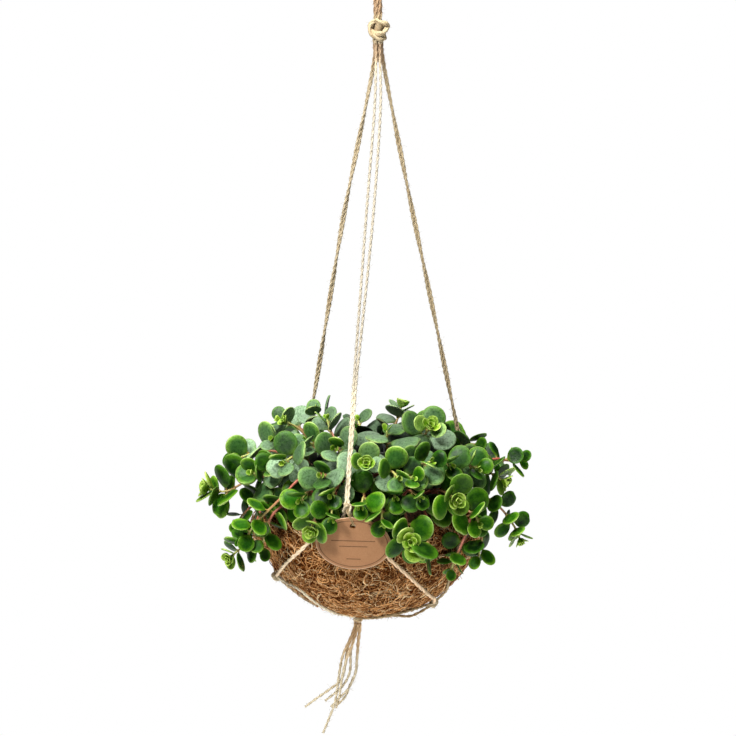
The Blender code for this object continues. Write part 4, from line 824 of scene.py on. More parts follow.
def hair_piece(name, paths, radii, tones, look, sides=3):
    """One mesh of many thin closed tubes, all with the same number of places."""
    paths = np.array(paths, float)
    count, steps, _ = paths.shape
    along = np.gradient(paths, axis=1)
    along /= np.linalg.norm(along, axis=2, keepdims=True) + 1e-12
    across = np.cross(along, np.array([0.31, 0.52, 0.79]))
    across /= np.linalg.norm(across, axis=2, keepdims=True) + 1e-12
    second = np.cross(along, across)
    thin = np.ones(steps)
    thin[0] = 0.6
    thin[-1] = 0.35
    size = np.asarray(radii)[:, None, None] * thin[None, :, None]
    turn = [(math.cos(a), math.sin(a)) for a in spread(0, math.tau, sides)]
    rings = np.stack([paths + size * (c * across + s * second) for c, s in turn], axis=2)
    faces = []
    for ring in range(steps - 1):
        low = ring * sides
        for k in range(sides):
            n = (k + 1) % sides
            faces.append((low + k, low + n, low + sides + n))
            faces.append((low + k, low + sides + n, low + sides + k))
    last = (steps - 1) * sides
    faces.append((2, 1, 0))
    faces.append((last, last + 1, last + 2))
    base = np.arange(count)[:, None, None] * steps * sides
    every = (np.array(faces)[None] + base).reshape(-1, 3)
    mesh = bpy.data.meshes.new(name)
    mesh.from_pydata(rings.reshape(-1, 3).tolist(), [], every.tolist())
    mark = mesh.attributes.new("tone", "FLOAT", "POINT")
    mark.data.foreach_set("value", np.repeat(np.asarray(tones), steps * sides).astype(np.float32))
    mesh.shade_smooth()
    mesh.materials.append(look)
    piece = bpy.data.objects.new(name, mesh)
    bpy.context.scene.collection.objects.link(piece)
    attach(piece, "root")
    return piece


# ---------------------------------------------------------------- coir bowl and soil

FIBRES = 9600
LIP_FIBRES = 150
FIBRE_STEPS = 7
FELT_COLUMNS = 150


def bowl_normal(angle, below):
    """Way out of the bowl's side at an azimuth and an angle under the rim, in radians."""
    inner = bowl_point(below)
    outer = bowl_point(below, -1.0)
    flat, height = outer[0] - inner[0], outer[1] - inner[1]
    return Vector((flat * math.sin(angle), -flat * math.cos(angle), height)).normalized()


def bowl_surface(angle, below, stand):
    flat, height = bowl_point(below)
    place = Vector((flat * math.sin(angle), -flat * math.cos(angle), height))
    return place + bowl_normal(angle, below) * stand


def make_felt():
    """The matted wall itself, lumpy, with its rolled rim and hollow inside."""
    luck = random.Random(3)
    waves = [(luck.uniform(2, 9), luck.uniform(1, 7), luck.uniform(0, math.tau), luck.uniform(0.15, 0.5))
             for _ in range(14)]
    outer = [math.radians(a) for a in (88, 82, 74, 66, 58, 50, 42, 34, 26, 18, 11, 4)]
    profile = [(bowl_point(a), 1.0) for a in outer]
    profile += [((BOWL_RADIUS - 0.6, 2.0), 1.0), ((BOWL_RADIUS - 2.6, RIM_HEIGHT - 0.4), 0.6)]
    profile += [((BOWL_RADIUS - BOWL_WALL / 2, RIM_HEIGHT), 0.4)]
    profile += [((BOWL_RADIUS - BOWL_WALL + 1.5, RIM_HEIGHT * 0.6), 0.2)]
    profile += [(bowl_point(math.radians(a), BOWL_WALL), 0.0) for a in (3, 25, 50, 72, 86)]
    rows = []
    for (flat, height), rough in profile:
        for k in range(FELT_COLUMNS):
            angle = math.tau * k / FELT_COLUMNS
            lump = sum(size * math.sin(a * angle + b * height / 12 + shift) for a, b, shift, size in waves)
            reach = flat + rough * (0.32 * lump - 0.9)
            rows.append(tuple(at(reach * math.sin(angle), -reach * math.cos(angle), height)))
    skin = Skin()
    skin.add(rows, [f[::-1] for f in tube_faces(len(profile), FELT_COLUMNS)], tone=0.3)
    piece = skin.build("coir_felt", matted_look())
    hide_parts("coir_bowl")


def make_fibres():
    """Loose coconut fibres, matted over the bowl, in three pieces by azimuth."""
    luck = random.Random(11)
    groups = [([], [], []) for _ in range(3)]
    for number in range(FIBRES):
        angle = luck.uniform(-math.pi, math.pi)
        below = math.acos(1 - luck.random() * 0.985) if luck.random() < 0.9 else luck.uniform(-0.02, 0.25)
        below = math.pi / 2 - below if luck.random() < 0.5 else below
        below = min(max(below, -0.02), 1.50)
        heading = luck.uniform(0, math.tau)
        bend = luck.gauss(0, 0.42)
        step = luck.uniform(1.8, 4.6)
        stand = luck.uniform(-0.8, 0.7)
        loose = luck.random() < 0.02
        curled = number < LIP_FIBRES  # the wall's upper edge curls out at the left
        if curled:
            angle, below, heading = luck.gauss(-1.36, 0.09), luck.uniform(0.02, 0.2), luck.gauss(1.57, 0.3)
            step = luck.uniform(2.6, 4.0)
        points = []
        for k in range(FIBRE_STEPS):
            wave = stand + 0.5 * math.sin(k * 1.7 + number)
            if loose:
                wave += 0.12 * k * k * luck.uniform(0.4, 1.0)
            if curled:
                wave += 5.5 * math.sin(math.pi * k / (FIBRE_STEPS - 1))
            points.append(at(*bowl_surface(angle, below, wave)))
            flat = max(bowl_point(below)[0], 6.0)
            angle += step * math.cos(heading) / flat
            below = min(max(below + step * math.sin(heading) / BOWL_RADIUS, -0.04), 1.56)
            heading += bend + luck.gauss(0, 0.22)
        group = groups[int((angle + math.tau) / math.tau * 3) % 3]
        tone = luck.uniform(0.5, 1.0) if curled else luck.random() ** 1.3
        group[0].append([tuple(p) for p in points])
        group[1].append((luck.uniform(0.32, 0.54) if luck.random() < 0.4 else luck.uniform(0.16, 0.30)) * MM)
        group[2].append(tone)
    look = coir_look("coir_fibre", colour(94, 42, 2), colour(246, 184, 118), colour(255, 228, 178))
    for number, (paths, radii, tones) in enumerate(groups):
        hair_piece(f"coir_fibres_{number + 1}", paths, radii, tones, look)


def make_soil():
    """Crumbly domed soil inside the rim."""
    luck = random.Random(5)
    edge = BOWL_RADIUS - BOWL_WALL - 0.8
    rings = 26
    columns = 72
    verts = []
    for ring in range(rings, 0, -1):
        for k in range(columns):
            angle = math.tau * k / columns
            flat = edge * ring / rings
            height = 24.0 * (1 - (flat / edge) ** 2) - 2.0
            height += luck.uniform(-1.6, 0.2) if ring < rings else -1.0
            verts.append(tuple(at(flat * math.sin(angle), -flat * math.cos(angle), height)))
    skin = Skin()
    under = []
    for k in range(columns):
        angle = math.tau * k / columns
        under.append(tuple(at(0.55 * edge * math.sin(angle), -0.55 * edge * math.cos(angle), -60.0)))
    skin.add(under + verts, [f[::-1] for f in tube_faces(rings + 1, columns)], tone=0.2)
    piece = skin.build("potting_soil", soil_look())
    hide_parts("root_ball")


# ---------------------------------------------------------------- tag

TAG_WIDTH = 58.0
TAG_HEIGHT = 43.0
TAG_THICK = 1.2
TAG_HOLE = 4.4
TAG_HOLE_AT = 14.5
TAG_AT = (-12.8, -97.5, -6.5)
TAG_TURN = -7.0
TAG_LEAN = 10.0


def card_look():
    """Kraft card with a thin printed oval line and three plain rules, and no lettering."""
    n = Nodes("kraft_card")
    place = n.place()
    pulp = n.noise(900.0, 5.0, rough=0.7)
    fleck = n.noise(2200.0, 2.0, n.stretched(place, (1.0, 1.0, 0.35)))
    base = n.mix(pulp, colour(138, 96, 63), colour(171, 127, 90))
    base = n.mix(n.ramp(fleck, 0.62, 0.76, 0.0, 0.35), base, colour(110, 74, 50))
    face = n.mark("face")
    split = n.tree.nodes.new("ShaderNodeSeparateXYZ")
    n.link(place, split.inputs[0])
    x, z = split.outputs["X"], split.outputs["Z"]
    wide = n.math("DIVIDE", x, (TAG_WIDTH / 2 - 2.6) * MM)
    tall = n.math("DIVIDE", z, (TAG_HEIGHT / 2 - 2.6) * MM)
    ring = n.math("SQRT", n.math("ADD", n.math("POWER", wide, 2.0), n.math("POWER", tall, 2.0)))
    away = n.math("ABSOLUTE", n.math("SUBTRACT", ring, 1.0))
    ink = n.ramp(away, 0.010, 0.020, 1.0, 0.0)
    for height, half in ((2.4, 17.0), (-2.2, 11.0), (-12.6, 5.5)):
        tall = n.ramp(n.math("ABSOLUTE", n.math("SUBTRACT", z, height * MM)), 0.00030, 0.00042, 1.0, 0.0)
        wide = n.ramp(n.math("ABSOLUTE", x), (half - 0.15) * MM, half * MM, 1.0, 0.0)
        ink = n.math("MAXIMUM", ink, n.times(tall, wide))
    worn = n.times(n.times(ink, face), n.ramp(pulp, 0.3, 0.6, 0.55, 0.85))
    base = n.mix(worn, base, colour(70, 46, 32))
    edge = n.mark("edge")
    base = n.mix(n.ramp(edge, 0.965, 1.0, 0.0, 0.8), base, colour(214, 180, 146))
    return n.finish(base, 0.85, n.bump(pulp, 0.25, 0.0003), 0.25)


def make_tag():
    """Oval card with a punched hole, rounded edges and a slight curl."""
    columns = 72
    rows = 9
    outline = []
    for angle in spread(0, math.tau, columns):
        way = Vector((math.cos(angle), math.sin(angle)))
        a = (way.x * 2 / TAG_WIDTH) ** 2 + (way.y * 2 / TAG_HEIGHT) ** 2
        b = 2 * TAG_HOLE_AT * way.y * (2 / TAG_HEIGHT) ** 2
        c = (TAG_HOLE_AT * 2 / TAG_HEIGHT) ** 2 - 1
        far = (-b + math.sqrt(b * b - 4 * a * c)) / (2 * a)
        outline.append((way, far))
    rings = []
    for side in (-1, 1):
        shares = [0.0, 0.02] + [k / rows for k in range(1, rows)] + [0.985, 1.0]
        if side > 0:
            shares = shares[::-1]
        for share in shares:
            rounded = 0.6 if share in (0.0, 1.0) else 1.0
            ring = []
            for way, far in outline:
                reach = TAG_HOLE / 2 + (far - TAG_HOLE / 2) * share
                x, z = way.x * reach, TAG_HOLE_AT + way.y * reach
                curl = 0.5 * (x / (TAG_WIDTH / 2)) ** 2 - 0.25
                ring.append((x * MM, (side * rounded * TAG_THICK / 2 + curl) * MM, z * MM))
            rings.append((ring, share, 1.0 if side < 0 and 0 < share < 1 else 0.0))
    skin = Skin()
    verts = [p for ring, _, _ in rings for p in ring]
    count = len(rings)
    faces = []
    for row in range(count):
        low, high = row * columns, (row + 1) % count * columns
        faces += [(low + k, high + k, high + (k + 1) % columns, low + (k + 1) % columns)
                  for k in range(columns)]
    edge = [share for _, share, _ in rings for _ in range(columns)]
    face = [front for _, _, front in rings for _ in range(columns)]
    skin.add(verts, faces, edge=edge, face=face)
    piece = skin.build("kraft_tag", card_look())
    turn = Matrix.Rotation(math.radians(TAG_TURN), 4, "Z") @ Matrix.Rotation(math.radians(TAG_LEAN), 4, "X")
    piece.matrix_world = Matrix.Translation(at(*TAG_AT)) @ turn
    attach(piece, "root")
    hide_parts("tag")
    return piece


def make_tie(tag):
    """Thin twine from the front knot, down through the tag's hole and back up behind it."""
    bpy.context.view_layer.update()
    hole = (tag.matrix_world @ Vector((0, 0, TAG_HOLE_AT * MM)) - BOWL_AT) / MM
    out = tag.matrix_world.to_3x3() @ Vector((0, -1, 0))
    knot = Vector(FRONT_KNOT)
    skin = Skin()
    for side in (-0.55, 0.55):
        aside = Vector((side, 0, 0))
        places = [
            knot + Vector((0.6, -2.0, 0.0)) + aside,
            knot + Vector((0.9, -5.2, -2.6)) + aside,
            hole + out * 2.0 + Vector((0.3, 0, 2.6)) + aside,
            hole + out * 1.3 + Vector((0, 0, 1.0)) + aside * 0.9,
            hole - out * 1.5 + Vector((0, 0, 0.4)) + aside * 0.9,
        ]
        add_twine(skin, smooth_path([at(*p) for p in places], 60), 0.8, 0.1, hairs=0.3, seed=95)
    piece = skin.build("tie_twine", TWINE_LOOK)
    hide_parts("tag_tie")


# ---------------------------------------------------------------- sedum

STEM_SIDE = 2.3
LEAF_SCALE = 1.28

def branch(points, leaf, bare=0.35, step=9.0, roll=0.0, side=None):
    """One stem: its places, largest leaf, bare share, leaf spacing, roll and what it leaves from.

    side is None for a stem from the soil, or (index of the parent stem, share along it).
    """
    return {"points": points, "leaf": leaf, "bare": bare, "step": step, "roll": roll, "side": side,
            "shut": False, "turn": 0.8, "lift": 1.0}


def twig(points, leaf, bare=0.2, step=9.0, roll=0.0, side=None, turn=0.8, lift=1.0):
    """A stem with no rosette at its tip.

    turn is how far its leaves turn towards the light, and lift scales how steeply they rise.
    """
    return {**branch(points, leaf, bare, step, roll, side), "shut": True, "turn": turn, "lift": lift}


SHOOTS = [
    ("shoot_tag", [
        twig([(-3, -55), (-3, -70, 22), (-5, -89, 28), (-7, -101, 23)], 16, bare=0.4, roll=45),
        twig([(2, -84, 28), (8, -98, 22), (9, -106, 11)], 16, bare=0.2, roll=0, side=(0, 0.4)),
    ]),
    ("shoot_front_left", [
        twig([(-20, -50), (-24, -66, 24), (-28, -86, 25), (-29.5, -103, 14)], 16, bare=0.4, roll=10),
        branch([(-38, -84, 22), (-43, -96, 10), (-45, -106, 5)], 15, bare=0.0, roll=60, side=(0, 0.5)),
        twig([(-34, -74, 40), (-37, -90, 45)], 18, bare=0.0, roll=20, side=(0, 0.35)),
        twig([(-24, -80, 36), (-29, -96, 31)], 17, bare=0.1, roll=70, side=(0, 0.45)),
    ]),
    ("shoot_left_low", [
        twig([(-34, -45), (-40, -60, 24), (-48, -82, 30), (-53, -97, 27)], 17, roll=30),
        twig([(-58, -62, 22), (-75, -72, 10), (-82, -70, -8), (-84, -67, -20)], 13, bare=0.2,
             step=8, roll=20, side=(0, 0.35), turn=0.4),
    ]),
    ("shoot_long_stem", [
        twig([(-12, -38), (-24, -56, 34), (-48, -82, 44), (-70, -84, 24), (-89, -76, 3),
              (-97, -68, -12)], 14, bare=0.72, step=9, roll=0, turn=0.35),
    ]),
    ("shoot_left_hanging", [
        branch([(-48, -38), (-62, -46, 20), (-82, -52, 14), (-93, -49, -14), (-105, -48, -26),
                (-111, -55, -29)], 14, bare=0.3, step=9, roll=50),
        twig([(-88, -36, 12), (-99, -34, 2), (-106, -34, -8)], 12, bare=0.2, step=8, side=(0, 0.5)),
    ]),
    ("shoot_left_far", [
        branch([(-46, -14), (-62, -20, 28), (-90, -30, 30), (-113, -30, 19), (-130, -32, 22)], 18,
               bare=0.25, step=10, roll=65),
        twig([(-82, -42, 34), (-92, -50, 38)], 18, bare=0.1, roll=40, side=(0, 0.4)),
    ]),
    ("shoot_left_high", [
        twig([(-38, 4), (-52, 0, 34), (-76, -6, 46), (-94, -12, 45), (-105, -16, 42)], 18,
             bare=0.4, roll=60),
    ]),
    ("shoot_left_top", [
        branch([(-28, 0), (-38, -2, 40), (-54, -6, 62), (-68, -12, 72)], 14, roll=15),
        twig([(-58, -18, 50), (-76, -28, 60)], 17, bare=0.1, roll=30, side=(0, 0.35)),
    ]),
    ("shoot_left_mid", [
        twig([(-32, -24), (-42, -38, 38), (-56, -58, 53), (-66, -74, 52)], 18, roll=50),
        twig([(-60, -46, 46), (-76, -60, 46)], 18, bare=0.1, roll=20, side=(0, 0.4)),
    ]),
    ("shoot_top_left", [
        twig([(-16, -12), (-22, -20, 44), (-30, -24, 62), (-34, -22, 76)], 16, roll=0, turn=0.3),
        twig([(-40, -40, 56), (-50, -52, 64)], 16, bare=0.1, roll=40, side=(0, 0.35), turn=0.4),
        twig([(-22, -44, 52), (-27, -64, 60)], 18, bare=0.1, roll=10, side=(0, 0.15), turn=0.5),
    ]),
    ("shoot_front_top", [
        branch([(-4, -34), (-5, -50, 36), (-4, -72, 48), (-3, -88, 54)], 17, roll=35),
        twig([(9, -62, 40), (16, -80, 46), (21, -92, 44)], 16, bare=0.1, side=(0, 0.4)),
    ]),
    ("shoot_crown", [
        twig([(8, -14), (11, -30, 42), (13, -43, 56), (13, -47, 71)], 23, bare=0.4, roll=20, turn=0.1,
             lift=0.3),
    ]),
    ("shoot_right_top", [
        branch([(24, -8), (30, -12, 40), (41, -26, 60), (47, -42, 74)], 18, roll=40),
    ]),
    ("shoot_back_top", [
        branch([(10, 16), (14, 20, 44), (21, 27, 62), (26, 31, 78)], 15, roll=15),
        twig([(-4, 34, 50), (-10, 42, 62)], 17, bare=0.0, side=(0, 0.3)),
        twig([(30, 12, 44), (42, 5, 52)], 16, bare=0.1, roll=30, side=(0, 0.35)),
    ]),
    ("shoot_right_mid", [
        twig([(22, -36), (28, -50, 36), (38, -68, 48), (47, -82, 54)], 17, roll=0),
        twig([(50, -50, 50), (62, -70, 48)], 18, bare=0.1, roll=45, side=(0, 0.4)),
        twig([(26, -72, 40), (33, -90, 43)], 15, bare=0.1, roll=20, side=(0, 0.5)),
    ]),
    ("shoot_right_front", [
        branch([(38, -40), (46, -54, 24), (57, -74, 28), (66, -90, 26)], 18, roll=30),
        twig([(68, -66, 16), (80, -72, 10), (84, -76, 4)], 17, bare=0.0, side=(0, 0.45)),
    ]),
    ("shoot_right_low", [
        branch([(16, -54), (20, -66, 21), (26, -84, 16), (29, -94, 3), (30, -102, -3), (30.5, -111, -2)],
               19, bare=0.4, roll=10),
        twig([(40, -82, 18), (45, -98, 0), (40, -102, -14)], 21, bare=0.75, side=(0, 0.4)),
        twig([(18, -80, 32), (19, -97, 29)], 17, bare=0.1, roll=40, side=(0, 0.3)),
        twig([(30, -84, 32), (38, -97, 29)], 15, bare=0.1, roll=30, side=(0, 0.35)),
    ]),
    ("shoot_right_far", [
        branch([(50, -14), (62, -18, 30), (84, -26, 37), (107, -33, 27)], 16, bare=0.2, step=8, roll=30),
        twig([(98, -8, 40), (112, 4, 36), (123, 8, 36)], 13, bare=0.3, roll=0, side=(0, 0.5)),
        twig([(72, -36, 42), (84, -52, 42)], 16, bare=0.0, side=(0, 0.3)),
    ]),
    ("shoot_right_hanging", [
        branch([(54, -30), (66, -34, 18), (84, -35, 18), (101, -30, 7), (113, -32, -8),
                (119, -36, -21)], 13, bare=0.35, step=12, roll=20),
    ]),
    ("shoot_right_trailing", [
        twig([(48, -46), (58, -54, 14), (76, -64, 12), (86, -66, -8), (84, -63, -28)], 14,
             bare=0.45, step=10, roll=20),
        twig([(74, -72, -6), (66, -74, -24), (62, -72, -36)], 12, bare=0.3, side=(0, 0.55)),
    ]),
    ("shoot_back_left", [
        twig([(-20, 22), (-26, 30, 44), (-36, 38, 60), (-44, 38, 71)], 17, roll=30, turn=0.3),
        twig([(-56, 44, 54), (-74, 44, 62)], 17, bare=0.1, roll=0, side=(0, 0.35)),
        twig([(-42, 46, 40), (-62, 62, 38), (-74, 70, 22)], 17, bare=0.2, roll=40, side=(0, 0.25)),
        twig([(-44, 24, 36), (-70, 22, 34), (-90, 26, 20)], 17, bare=0.3, roll=20, side=(0, 0.2)),
    ]),
    ("shoot_back_right", [
        twig([(40, 24), (52, 32, 34), (70, 30, 46), (88, 26, 44)], 15, step=8, roll=20),
        branch([(52, 50, 44), (56, 72, 38), (58, 92, 22)], 18, bare=0.2, roll=50, side=(0, 0.3)),
        twig([(78, 46, 36), (94, 60, 22)], 17, bare=0.1, roll=20, side=(0, 0.5)),
        twig([(56, 16, 36), (76, 6, 38)], 17, bare=0.1, roll=30, side=(0, 0.2)),
    ]),
    ("shoot_back", [
        branch([(0, 42), (-2, 54, 34), (-4, 74, 36), (-8, 98, 20)], 20, roll=10),
        twig([(-34, 68, 38), (-48, 92, 24)], 18, bare=0.1, roll=40, side=(0, 0.4)),
        twig([(18, 66, 38), (30, 88, 30), (34, 102, 14)], 17, bare=0.1, roll=20, side=(0, 0.3)),
        twig([(-12, 46, 50), (-16, 34, 60)], 17, bare=0.1, roll=60, side=(0, 0.2)),
        twig([(-20, 88, 26), (-26, 102, 10)], 16, bare=0.1, roll=30, side=(0, 0.6)),
    ]),
]

STEM_FINE = 600
ROSETTE_PAIRS = ((0.46, 56.0), (0.7, 42.0), (0.9, 31.0), (1.0, 26.0))
TWIG_PAIRS = ((0.68, 62.0), (0.88, 44.0), (1.0, 32.0), (1.0, 24.0))
BUD = 4.0
BUD_PAIRS = ((3.3, 0.5, 48), (2.2, 0.38, 58), (1.1, 0.28, 67), (0.2, 0.2, 76))  # way back, size, lift
CLUMP = (118.0, 100.0, 88.0)  # half sizes of the whole clump of leaves
AGES = (0.05, 0.22, 0.42, 0.6, 0.72)  # by pair from the tip, 0 for the youngest
FIRST_SPACING = 3.4
TWIG_SPACING = 6.0
SPACING_GROWTH = 1.28
BARE_SPACING = 12.0
LEAF_TIP = (0.97, 0.20, 0.01)
LEAF_CURL = 0.08
STEEPEST = 74
TRIES = [
    (size, lift, swing)
    for size in (1.0, 0.84)
    for lift, swing in ((0, 0), (14, 0), (-14, 0), (0, 18), (0, -18), (26, 10), (26, -10), (-26, 0))
]
SAME = 0.05 * MM  # a leaf of the frame is found when its tip lies this close


def node_places(length, spec):
    """Distances of the nodes from the tip, close together first, and which carry leaves."""
    places = []
    gap = TWIG_SPACING if spec["shut"] else FIRST_SPACING
    reach = BUD
    while reach < length - 4.0:
        leafy = reach < length * (1 - spec["bare"])
        places.append((reach, leafy))
        reach += gap if leafy else BARE_SPACING
        gap = min(gap * SPACING_GROWTH, spec["step"])
    return places


def plan_stem(spec, path, start_normal):
    """A stem's leaf nodes, from its foot to its tip, each with the frame its leaves grow from."""
    total = length_of(path) / MM
    fine = resample(path, STEM_FINE)
    across = start_normal
    frames = []
    for k, place in enumerate(fine):
        along = (fine[min(k + 1, STEM_FINE - 1)] - fine[max(k - 1, 0)]).normalized()
        across = (across - along * across.dot(along)).normalized()
        frames.append((place, along, across.copy()))
    nodes = []
    for level, (reach, leafy) in enumerate(node_places(total, spec)):
        share = 1 - reach / total
        place, along, across = frames[min(STEM_FINE - 1, round(share * (STEM_FINE - 1)))]
        half = STEM_SIDE / 2 * (0.62 + 0.38 * (1 - share))
        second = along.cross(across)
        nodes.append({
            "place": place, "along": along, "half": half * MM, "level": level, "leafy": leafy,
            "normals": [across, second, -across, -second], "taken": set(), "share": share,
            "turn": 0.15 if level < 3 and not spec["shut"] else spec["turn"],
        })
    nodes.reverse()
    return {"spec": spec, "nodes": nodes, "end": frames[-1], "path": fine, "total": total}


def plan_shoots(soil):
    """All stems of all shoots, laid out as in the frame."""
    shoots = []
    for name, specs in SHOOTS:
        stems = []
        for spec in specs:
            if spec["side"] is None:
                x, y = spec["points"][0]
                spot, normal, _, _ = soil.ray_cast(at(x, y, 60), Vector((0, 0, -1)))
                foot = spot + normal * GAP * MM
                rise = foot + normal * 6 * MM
                later = spec["points"][1:]
            else:
                parent, share = spec["side"]
                node = min(stems[parent]["nodes"], key=lambda n: abs(n["share"] - share))
                aim = (at(*spec["points"][0]) - node["place"]).normalized()
                face = max(range(4), key=lambda k: node["normals"][k].dot(aim))
                foot = node["place"] + node["normals"][face] * node["half"]
                rise = foot + (node["normals"][face] * 0.7 + aim * 0.3).normalized() * 3.5 * MM
                later = spec["points"]
                node["taken"].add(face)
            path = smooth_path([foot, rise, *[at(*p) for p in later]], STEM_FINE)
            across = (path[1] - path[0]).orthogonal().normalized()
            across = Matrix.Rotation(math.radians(spec["roll"]), 3, path[1] - path[0]) @ across
            stems.append(plan_stem(spec, path, across))
        shoots.append((name, stems))
    return shoots


def leaf_wish(stem, node, side, index):
    """The leaf that a node would grow with no neighbours in its way."""
    level = node["level"]
    spec = stem["spec"]
    luck = random.Random(index * 7919 + level * 104729 + side * 31 + spec["leaf"] * 10 + spec["roll"])
    pair, lift = (TWIG_PAIRS if spec["shut"] else ROSETTE_PAIRS)[min(level, 3)]
    size = LEAF_SCALE * spec["leaf"] * pair * luck.uniform(0.9, 1.08)
    pitch = lift * spec["lift"] + luck.uniform(-7, 7)
    return size, pitch, luck.uniform(-9, 9), luck.uniform(-10, 10)


def leaf_frame(node, side, size, pitch, swing, roll):
    """Foot, length and the three directions of a leaf: along it, out of its face and across it."""
    out = (Matrix.Rotation(math.radians(swing), 3, node["along"]) @ node["normals"][side]).normalized()
    lift = math.radians(pitch)
    reach = (out * math.cos(lift) + node["along"] * math.sin(lift)).normalized()
    face = (node["along"] * math.cos(lift) - out * math.sin(lift)).normalized()
    light = (node["place"] - BOWL_AT).normalized() + Vector((0.0, -0.70, 0.40))
    light = light.normalized()
    light = light - reach * light.dot(reach)
    if light.length > 0.2 and face.dot(light) > -0.2 * light.length:
        face = face.lerp(light.normalized(), node["turn"]).normalized()
    face = (Matrix.Rotation(math.radians(roll), 3, reach) @ face).normalized()
    base = node["place"] + node["normals"][side] * node["half"]
    return {"base": base, "length": size * MM, "reach": reach, "face": face,
            "wide": reach.cross(face).normalized()}


def leaf_tips(leaf):
    share, half, rise = LEAF_TIP
    length = leaf["length"]
    spot = leaf["base"] + leaf["reach"] * length * share
    spot += leaf["face"] * length * (rise - LEAF_CURL * share * share)
    return spot - leaf["wide"] * length * half, spot + leaf["wide"] * length * half


def find_leaves(index, name, stems):
    """The leaves that the frame's shoot really has: each node's try whose tips are its points."""
    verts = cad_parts[name].data.vertices
    tree = KDTree(len(verts))
    for k, vert in enumerate(verts):
        tree.insert(vert.co, k)
    tree.balance()
    found = []
    for stem in stems:
        for node in stem["nodes"]:
            for side in (node["level"] % 2, node["level"] % 2 + 2):
                if not node["leafy"] or side in node["taken"]:
                    continue
                size, pitch, swing, roll = leaf_wish(stem, node, side, index)
                for share, lift, aside in TRIES:
                    shape = (size * share, min(pitch + lift, STEEPEST), swing + aside, roll)
                    leaf = leaf_frame(node, side, *shape)
                    if all(tree.find(tip)[2] < SAME for tip in leaf_tips(leaf)):
                        found.append((stem, node, side, leaf))
                        break
    return found


# Shares of a leaf's length at its cross sections; a bud's leaf has every other one
LEAF_STEPS = (-0.03, 0.03, 0.08, 0.13, 0.20, 0.29, 0.39, 0.50, 0.61, 0.72, 0.82, 0.90, 0.955, 0.99)
LEAF_AROUND = 14
LEAF_FOOT = 0.11
LEAF_WIDEST = 0.57
LEAF_HALF = 0.445
STALK_HALF = 0.050


def half_width(share):
    """Half of a leaf's width at a share of its length: a short stalk, then a round blade."""
    if share > LEAF_WIDEST:
        return LEAF_HALF * math.sqrt(max(0.0, 1 - ((share - LEAF_WIDEST) / (1 - LEAF_WIDEST)) ** 2))
    rise = min(max((share - LEAF_FOOT) / (LEAF_WIDEST - LEAF_FOOT), 0.0), 1.0)
    return STALK_HALF + (LEAF_HALF - STALK_HALF) * (1 - (1 - rise) ** 2) ** 0.6


def add_leaf(skin, leaf, age, bloom, shade, luck, steps=LEAF_STEPS, around=LEAF_AROUND):
    """A fleshy round leaf, cupped over its width and its length, thick in the middle."""
    length = leaf["length"]
    base, reach, face, wide = (np.array(leaf[k]) for k in ("base", "reach", "face", "wide"))
    grown = min(age * 1.8, 1.0)
    cup = luck.uniform(0.75, 1.25) * (1.9 - 2.5 * grown)
    spoon = luck.uniform(0.02, 0.05) * (2.4 - 3.4 * grown)
    dome = 0.8 + 0.9 * grown
    slant = luck.uniform(-0.03, 0.03)
    notch = 0.05 if luck.random() < 0.16 and age > 0.4 else 0.0
    wave = luck.uniform(0.0, 0.018)
    beat = luck.uniform(0, math.tau)
    turn = np.array(spread(0, math.tau, around))
    rows, edges, shares = [], [], []
    for share in steps:
        half = half_width(share)
        x = half * np.cos(turn)
        near = x / LEAF_HALF
        blade = min(1.0, max(0.0, (share - LEAF_FOOT) / 0.2))
        middle = -0.035 - 0.015 * blade + 0.075 * cup * near**2
        middle = middle + spoon * blade * ((share - 0.55) / 0.45) ** 2 + slant * near * blade
        middle = middle + wave * blade * np.sin(2.0 * turn + beat) * abs(near) - LEAF_CURL * share * share
        full = 0.036 * math.sqrt(max(0.10, min(1.0, half / 0.22)))
        body = np.where(np.sin(turn) > 0, dome, 1.2) * full * (1 - 0.35 * near**2)
        z = middle + body * np.sin(turn)
        reach_share = share - notch * np.exp(-((near / 0.28) ** 2)) * max(0.0, share - 0.82) / 0.17
        rows.append(base + length * (np.outer(reach_share * np.ones(around), reach) + np.outer(x, wide)
                                     + np.outer(z, face)))
        past = max(0.0, (share - LEAF_WIDEST) / (1 - LEAF_WIDEST))
        across = np.abs(np.cos(turn)) if past == 0 else np.sqrt((x / LEAF_HALF) ** 2 + past**2)
        edges.append(np.minimum(1.0, across) * (0.4 + 0.6 * blade))
        shares.append(np.full(around, share))
    skin.add(np.concatenate(rows), [f[::-1] for f in tube_faces(len(steps), around)],
             edge=np.concatenate(edges), along=np.clip(np.concatenate(shares), 0, 1),
             age=age, bloom=bloom, shade=shade, luck=luck.random())


def bloom_and_sheen_of(leaf, level, luck):
    """How grey a leaf is: wax bloom on old ones on top of the clump, with painted sheen on those open to the
    sky and on the lit left side.
    """
    high = (leaf["base"].z - BOWL_AT.z) / MM
    height = min(1.0, max(0.0, (high - 22) / 38))
    # Painted sheen: leaves that face up are greyer.
    sky = min(1.0, max(0.0, leaf["face"].z * 1.5))
    old = min(1.0, 0.35 + 0.35 * level)
    # Painted light: greyer towards the lit left side of the clump.
    side = min(1.0, max(0.45, 0.9 - leaf["base"].x / MM / 110))
    grey = height * (0.35 + 0.65 * sky) * old * side * luck.uniform(0.5, 1.5)
    return min(0.85, max(0.0, grey * 1.6 - 0.2))


def shade_of(leaf):
    """How deep inside the clump a leaf lies, for its painted shade: 0 at its outside, 1 well within it."""
    middle = (leaf["base"] + leaf["reach"] * leaf["length"] * 0.6 - BOWL_AT) / MM
    reach = math.sqrt(sum((part / half) ** 2 for part, half in zip(middle, CLUMP)))
    return min(1.0, max(0.0, (1.0 - reach) / 0.3))


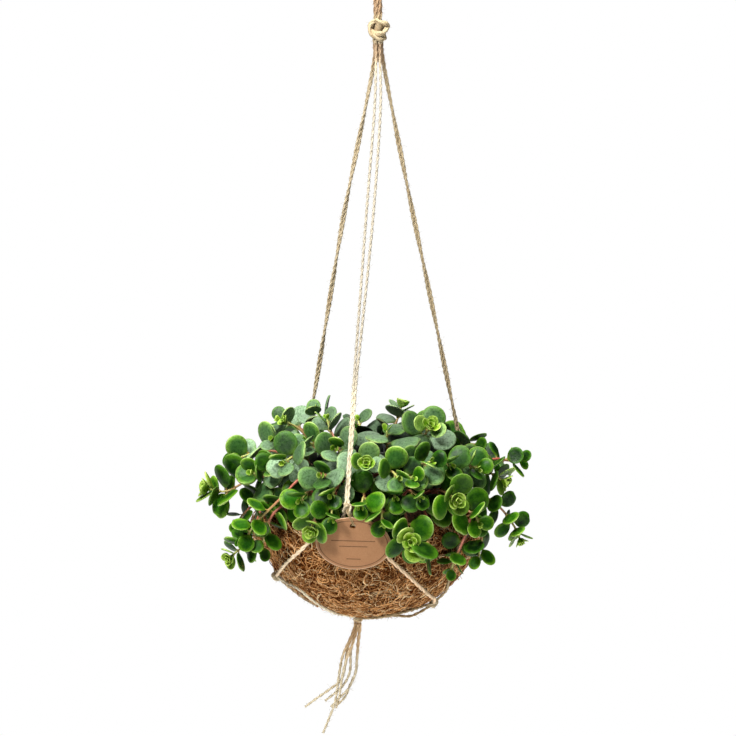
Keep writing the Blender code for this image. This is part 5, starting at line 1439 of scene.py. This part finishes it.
def add_bud(skin, stem, luck):
    """Crossed pairs of closed young leaves at a stem's tip."""
    _, along, across = stem["end"]
    top = stem["nodes"][-1] if stem["nodes"] else None
    across = top["normals"][0] if top else across
    for pair, (back, size, pitch) in enumerate(BUD_PAIRS[2:3] if stem["spec"]["shut"] else BUD_PAIRS):
        spot = stem["end"][0] - along * back * MM
        for sign in (0, 1):
            turn = math.pi * sign + math.pi / 2 * (pair + 1)
            out = Matrix.Rotation(turn + luck.uniform(-0.2, 0.2), 3, along) @ across
            lift = math.radians(pitch + luck.uniform(-5, 5))
            reach = (out * math.cos(lift) + along * math.sin(lift)).normalized()
            face = (along * math.cos(lift) - out * math.sin(lift)).normalized()
            leaf = {"base": spot + out * 0.5 * MM, "length": stem["spec"]["leaf"] * size * MM * 1.1,
                    "reach": reach, "face": face, "wide": reach.cross(face).normalized()}
            add_leaf(skin, leaf, 0.0, 0.0, 0.0, luck, LEAF_STEPS[::2] + (0.99,), 10)


def add_stem(skin, stem, luck):
    """A round stem, a little swollen where its leaves stand or stood."""
    rings = max(12, round(stem["total"] / 1.3))
    path = resample(stem["path"], rings)
    shares = np.linspace(0, 1, rings)
    radii = STEM_SIDE / 2 * 1.04 * (0.62 + 0.38 * (1 - shares))
    for node in stem["nodes"]:
        radii = radii * (1 + 0.16 * np.exp(-(((shares - node["share"]) * stem["total"] / 1.5) ** 2)))
    radii[-1] *= 0.4
    add_tube(skin, path, radii * MM, 9, young=shares, luck=luck.random())


def make_sedum():
    soil = BVHTree.FromPolygons(
        [v.co.copy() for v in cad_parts["root_ball"].data.vertices],
        [tuple(p.vertices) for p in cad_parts["root_ball"].data.polygons],
    )
    leaf_material = leaf_look()
    stem_material = stem_look()
    for index, (name, stems) in enumerate(plan_shoots(soil)):
        luck = random.Random(400 + index)
        leaves = Skin()
        wood = Skin()
        for stem, node, _, leaf in find_leaves(index, name, stems):
            level = node["level"]
            age = min(1.0, AGES[min(level, 4)] + luck.uniform(-0.05, 0.2))
            if stem["spec"]["shut"]:
                age = max(age, luck.uniform(0.5, 0.8))
            add_leaf(leaves, leaf, age, bloom_and_sheen_of(leaf, level, luck), shade_of(leaf), luck)
        for stem in stems:
            add_bud(leaves, stem, luck)
            add_stem(wood, stem, luck)
        piece = leaves.build(name + "_leaves", leaf_material)
        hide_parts(name)
        wood.build(name + "_stems", stem_material)


# ---------------------------------------------------------------- everything

TWINE_LOOK = twine_look()
make_camera()
make_cords()
make_net()
make_knots()
make_loop()
make_tie(make_tag())
make_fuzz()
make_felt()
make_fibres()
make_soil()
make_sedum()
make_floor()
make_lamps()
make_world()
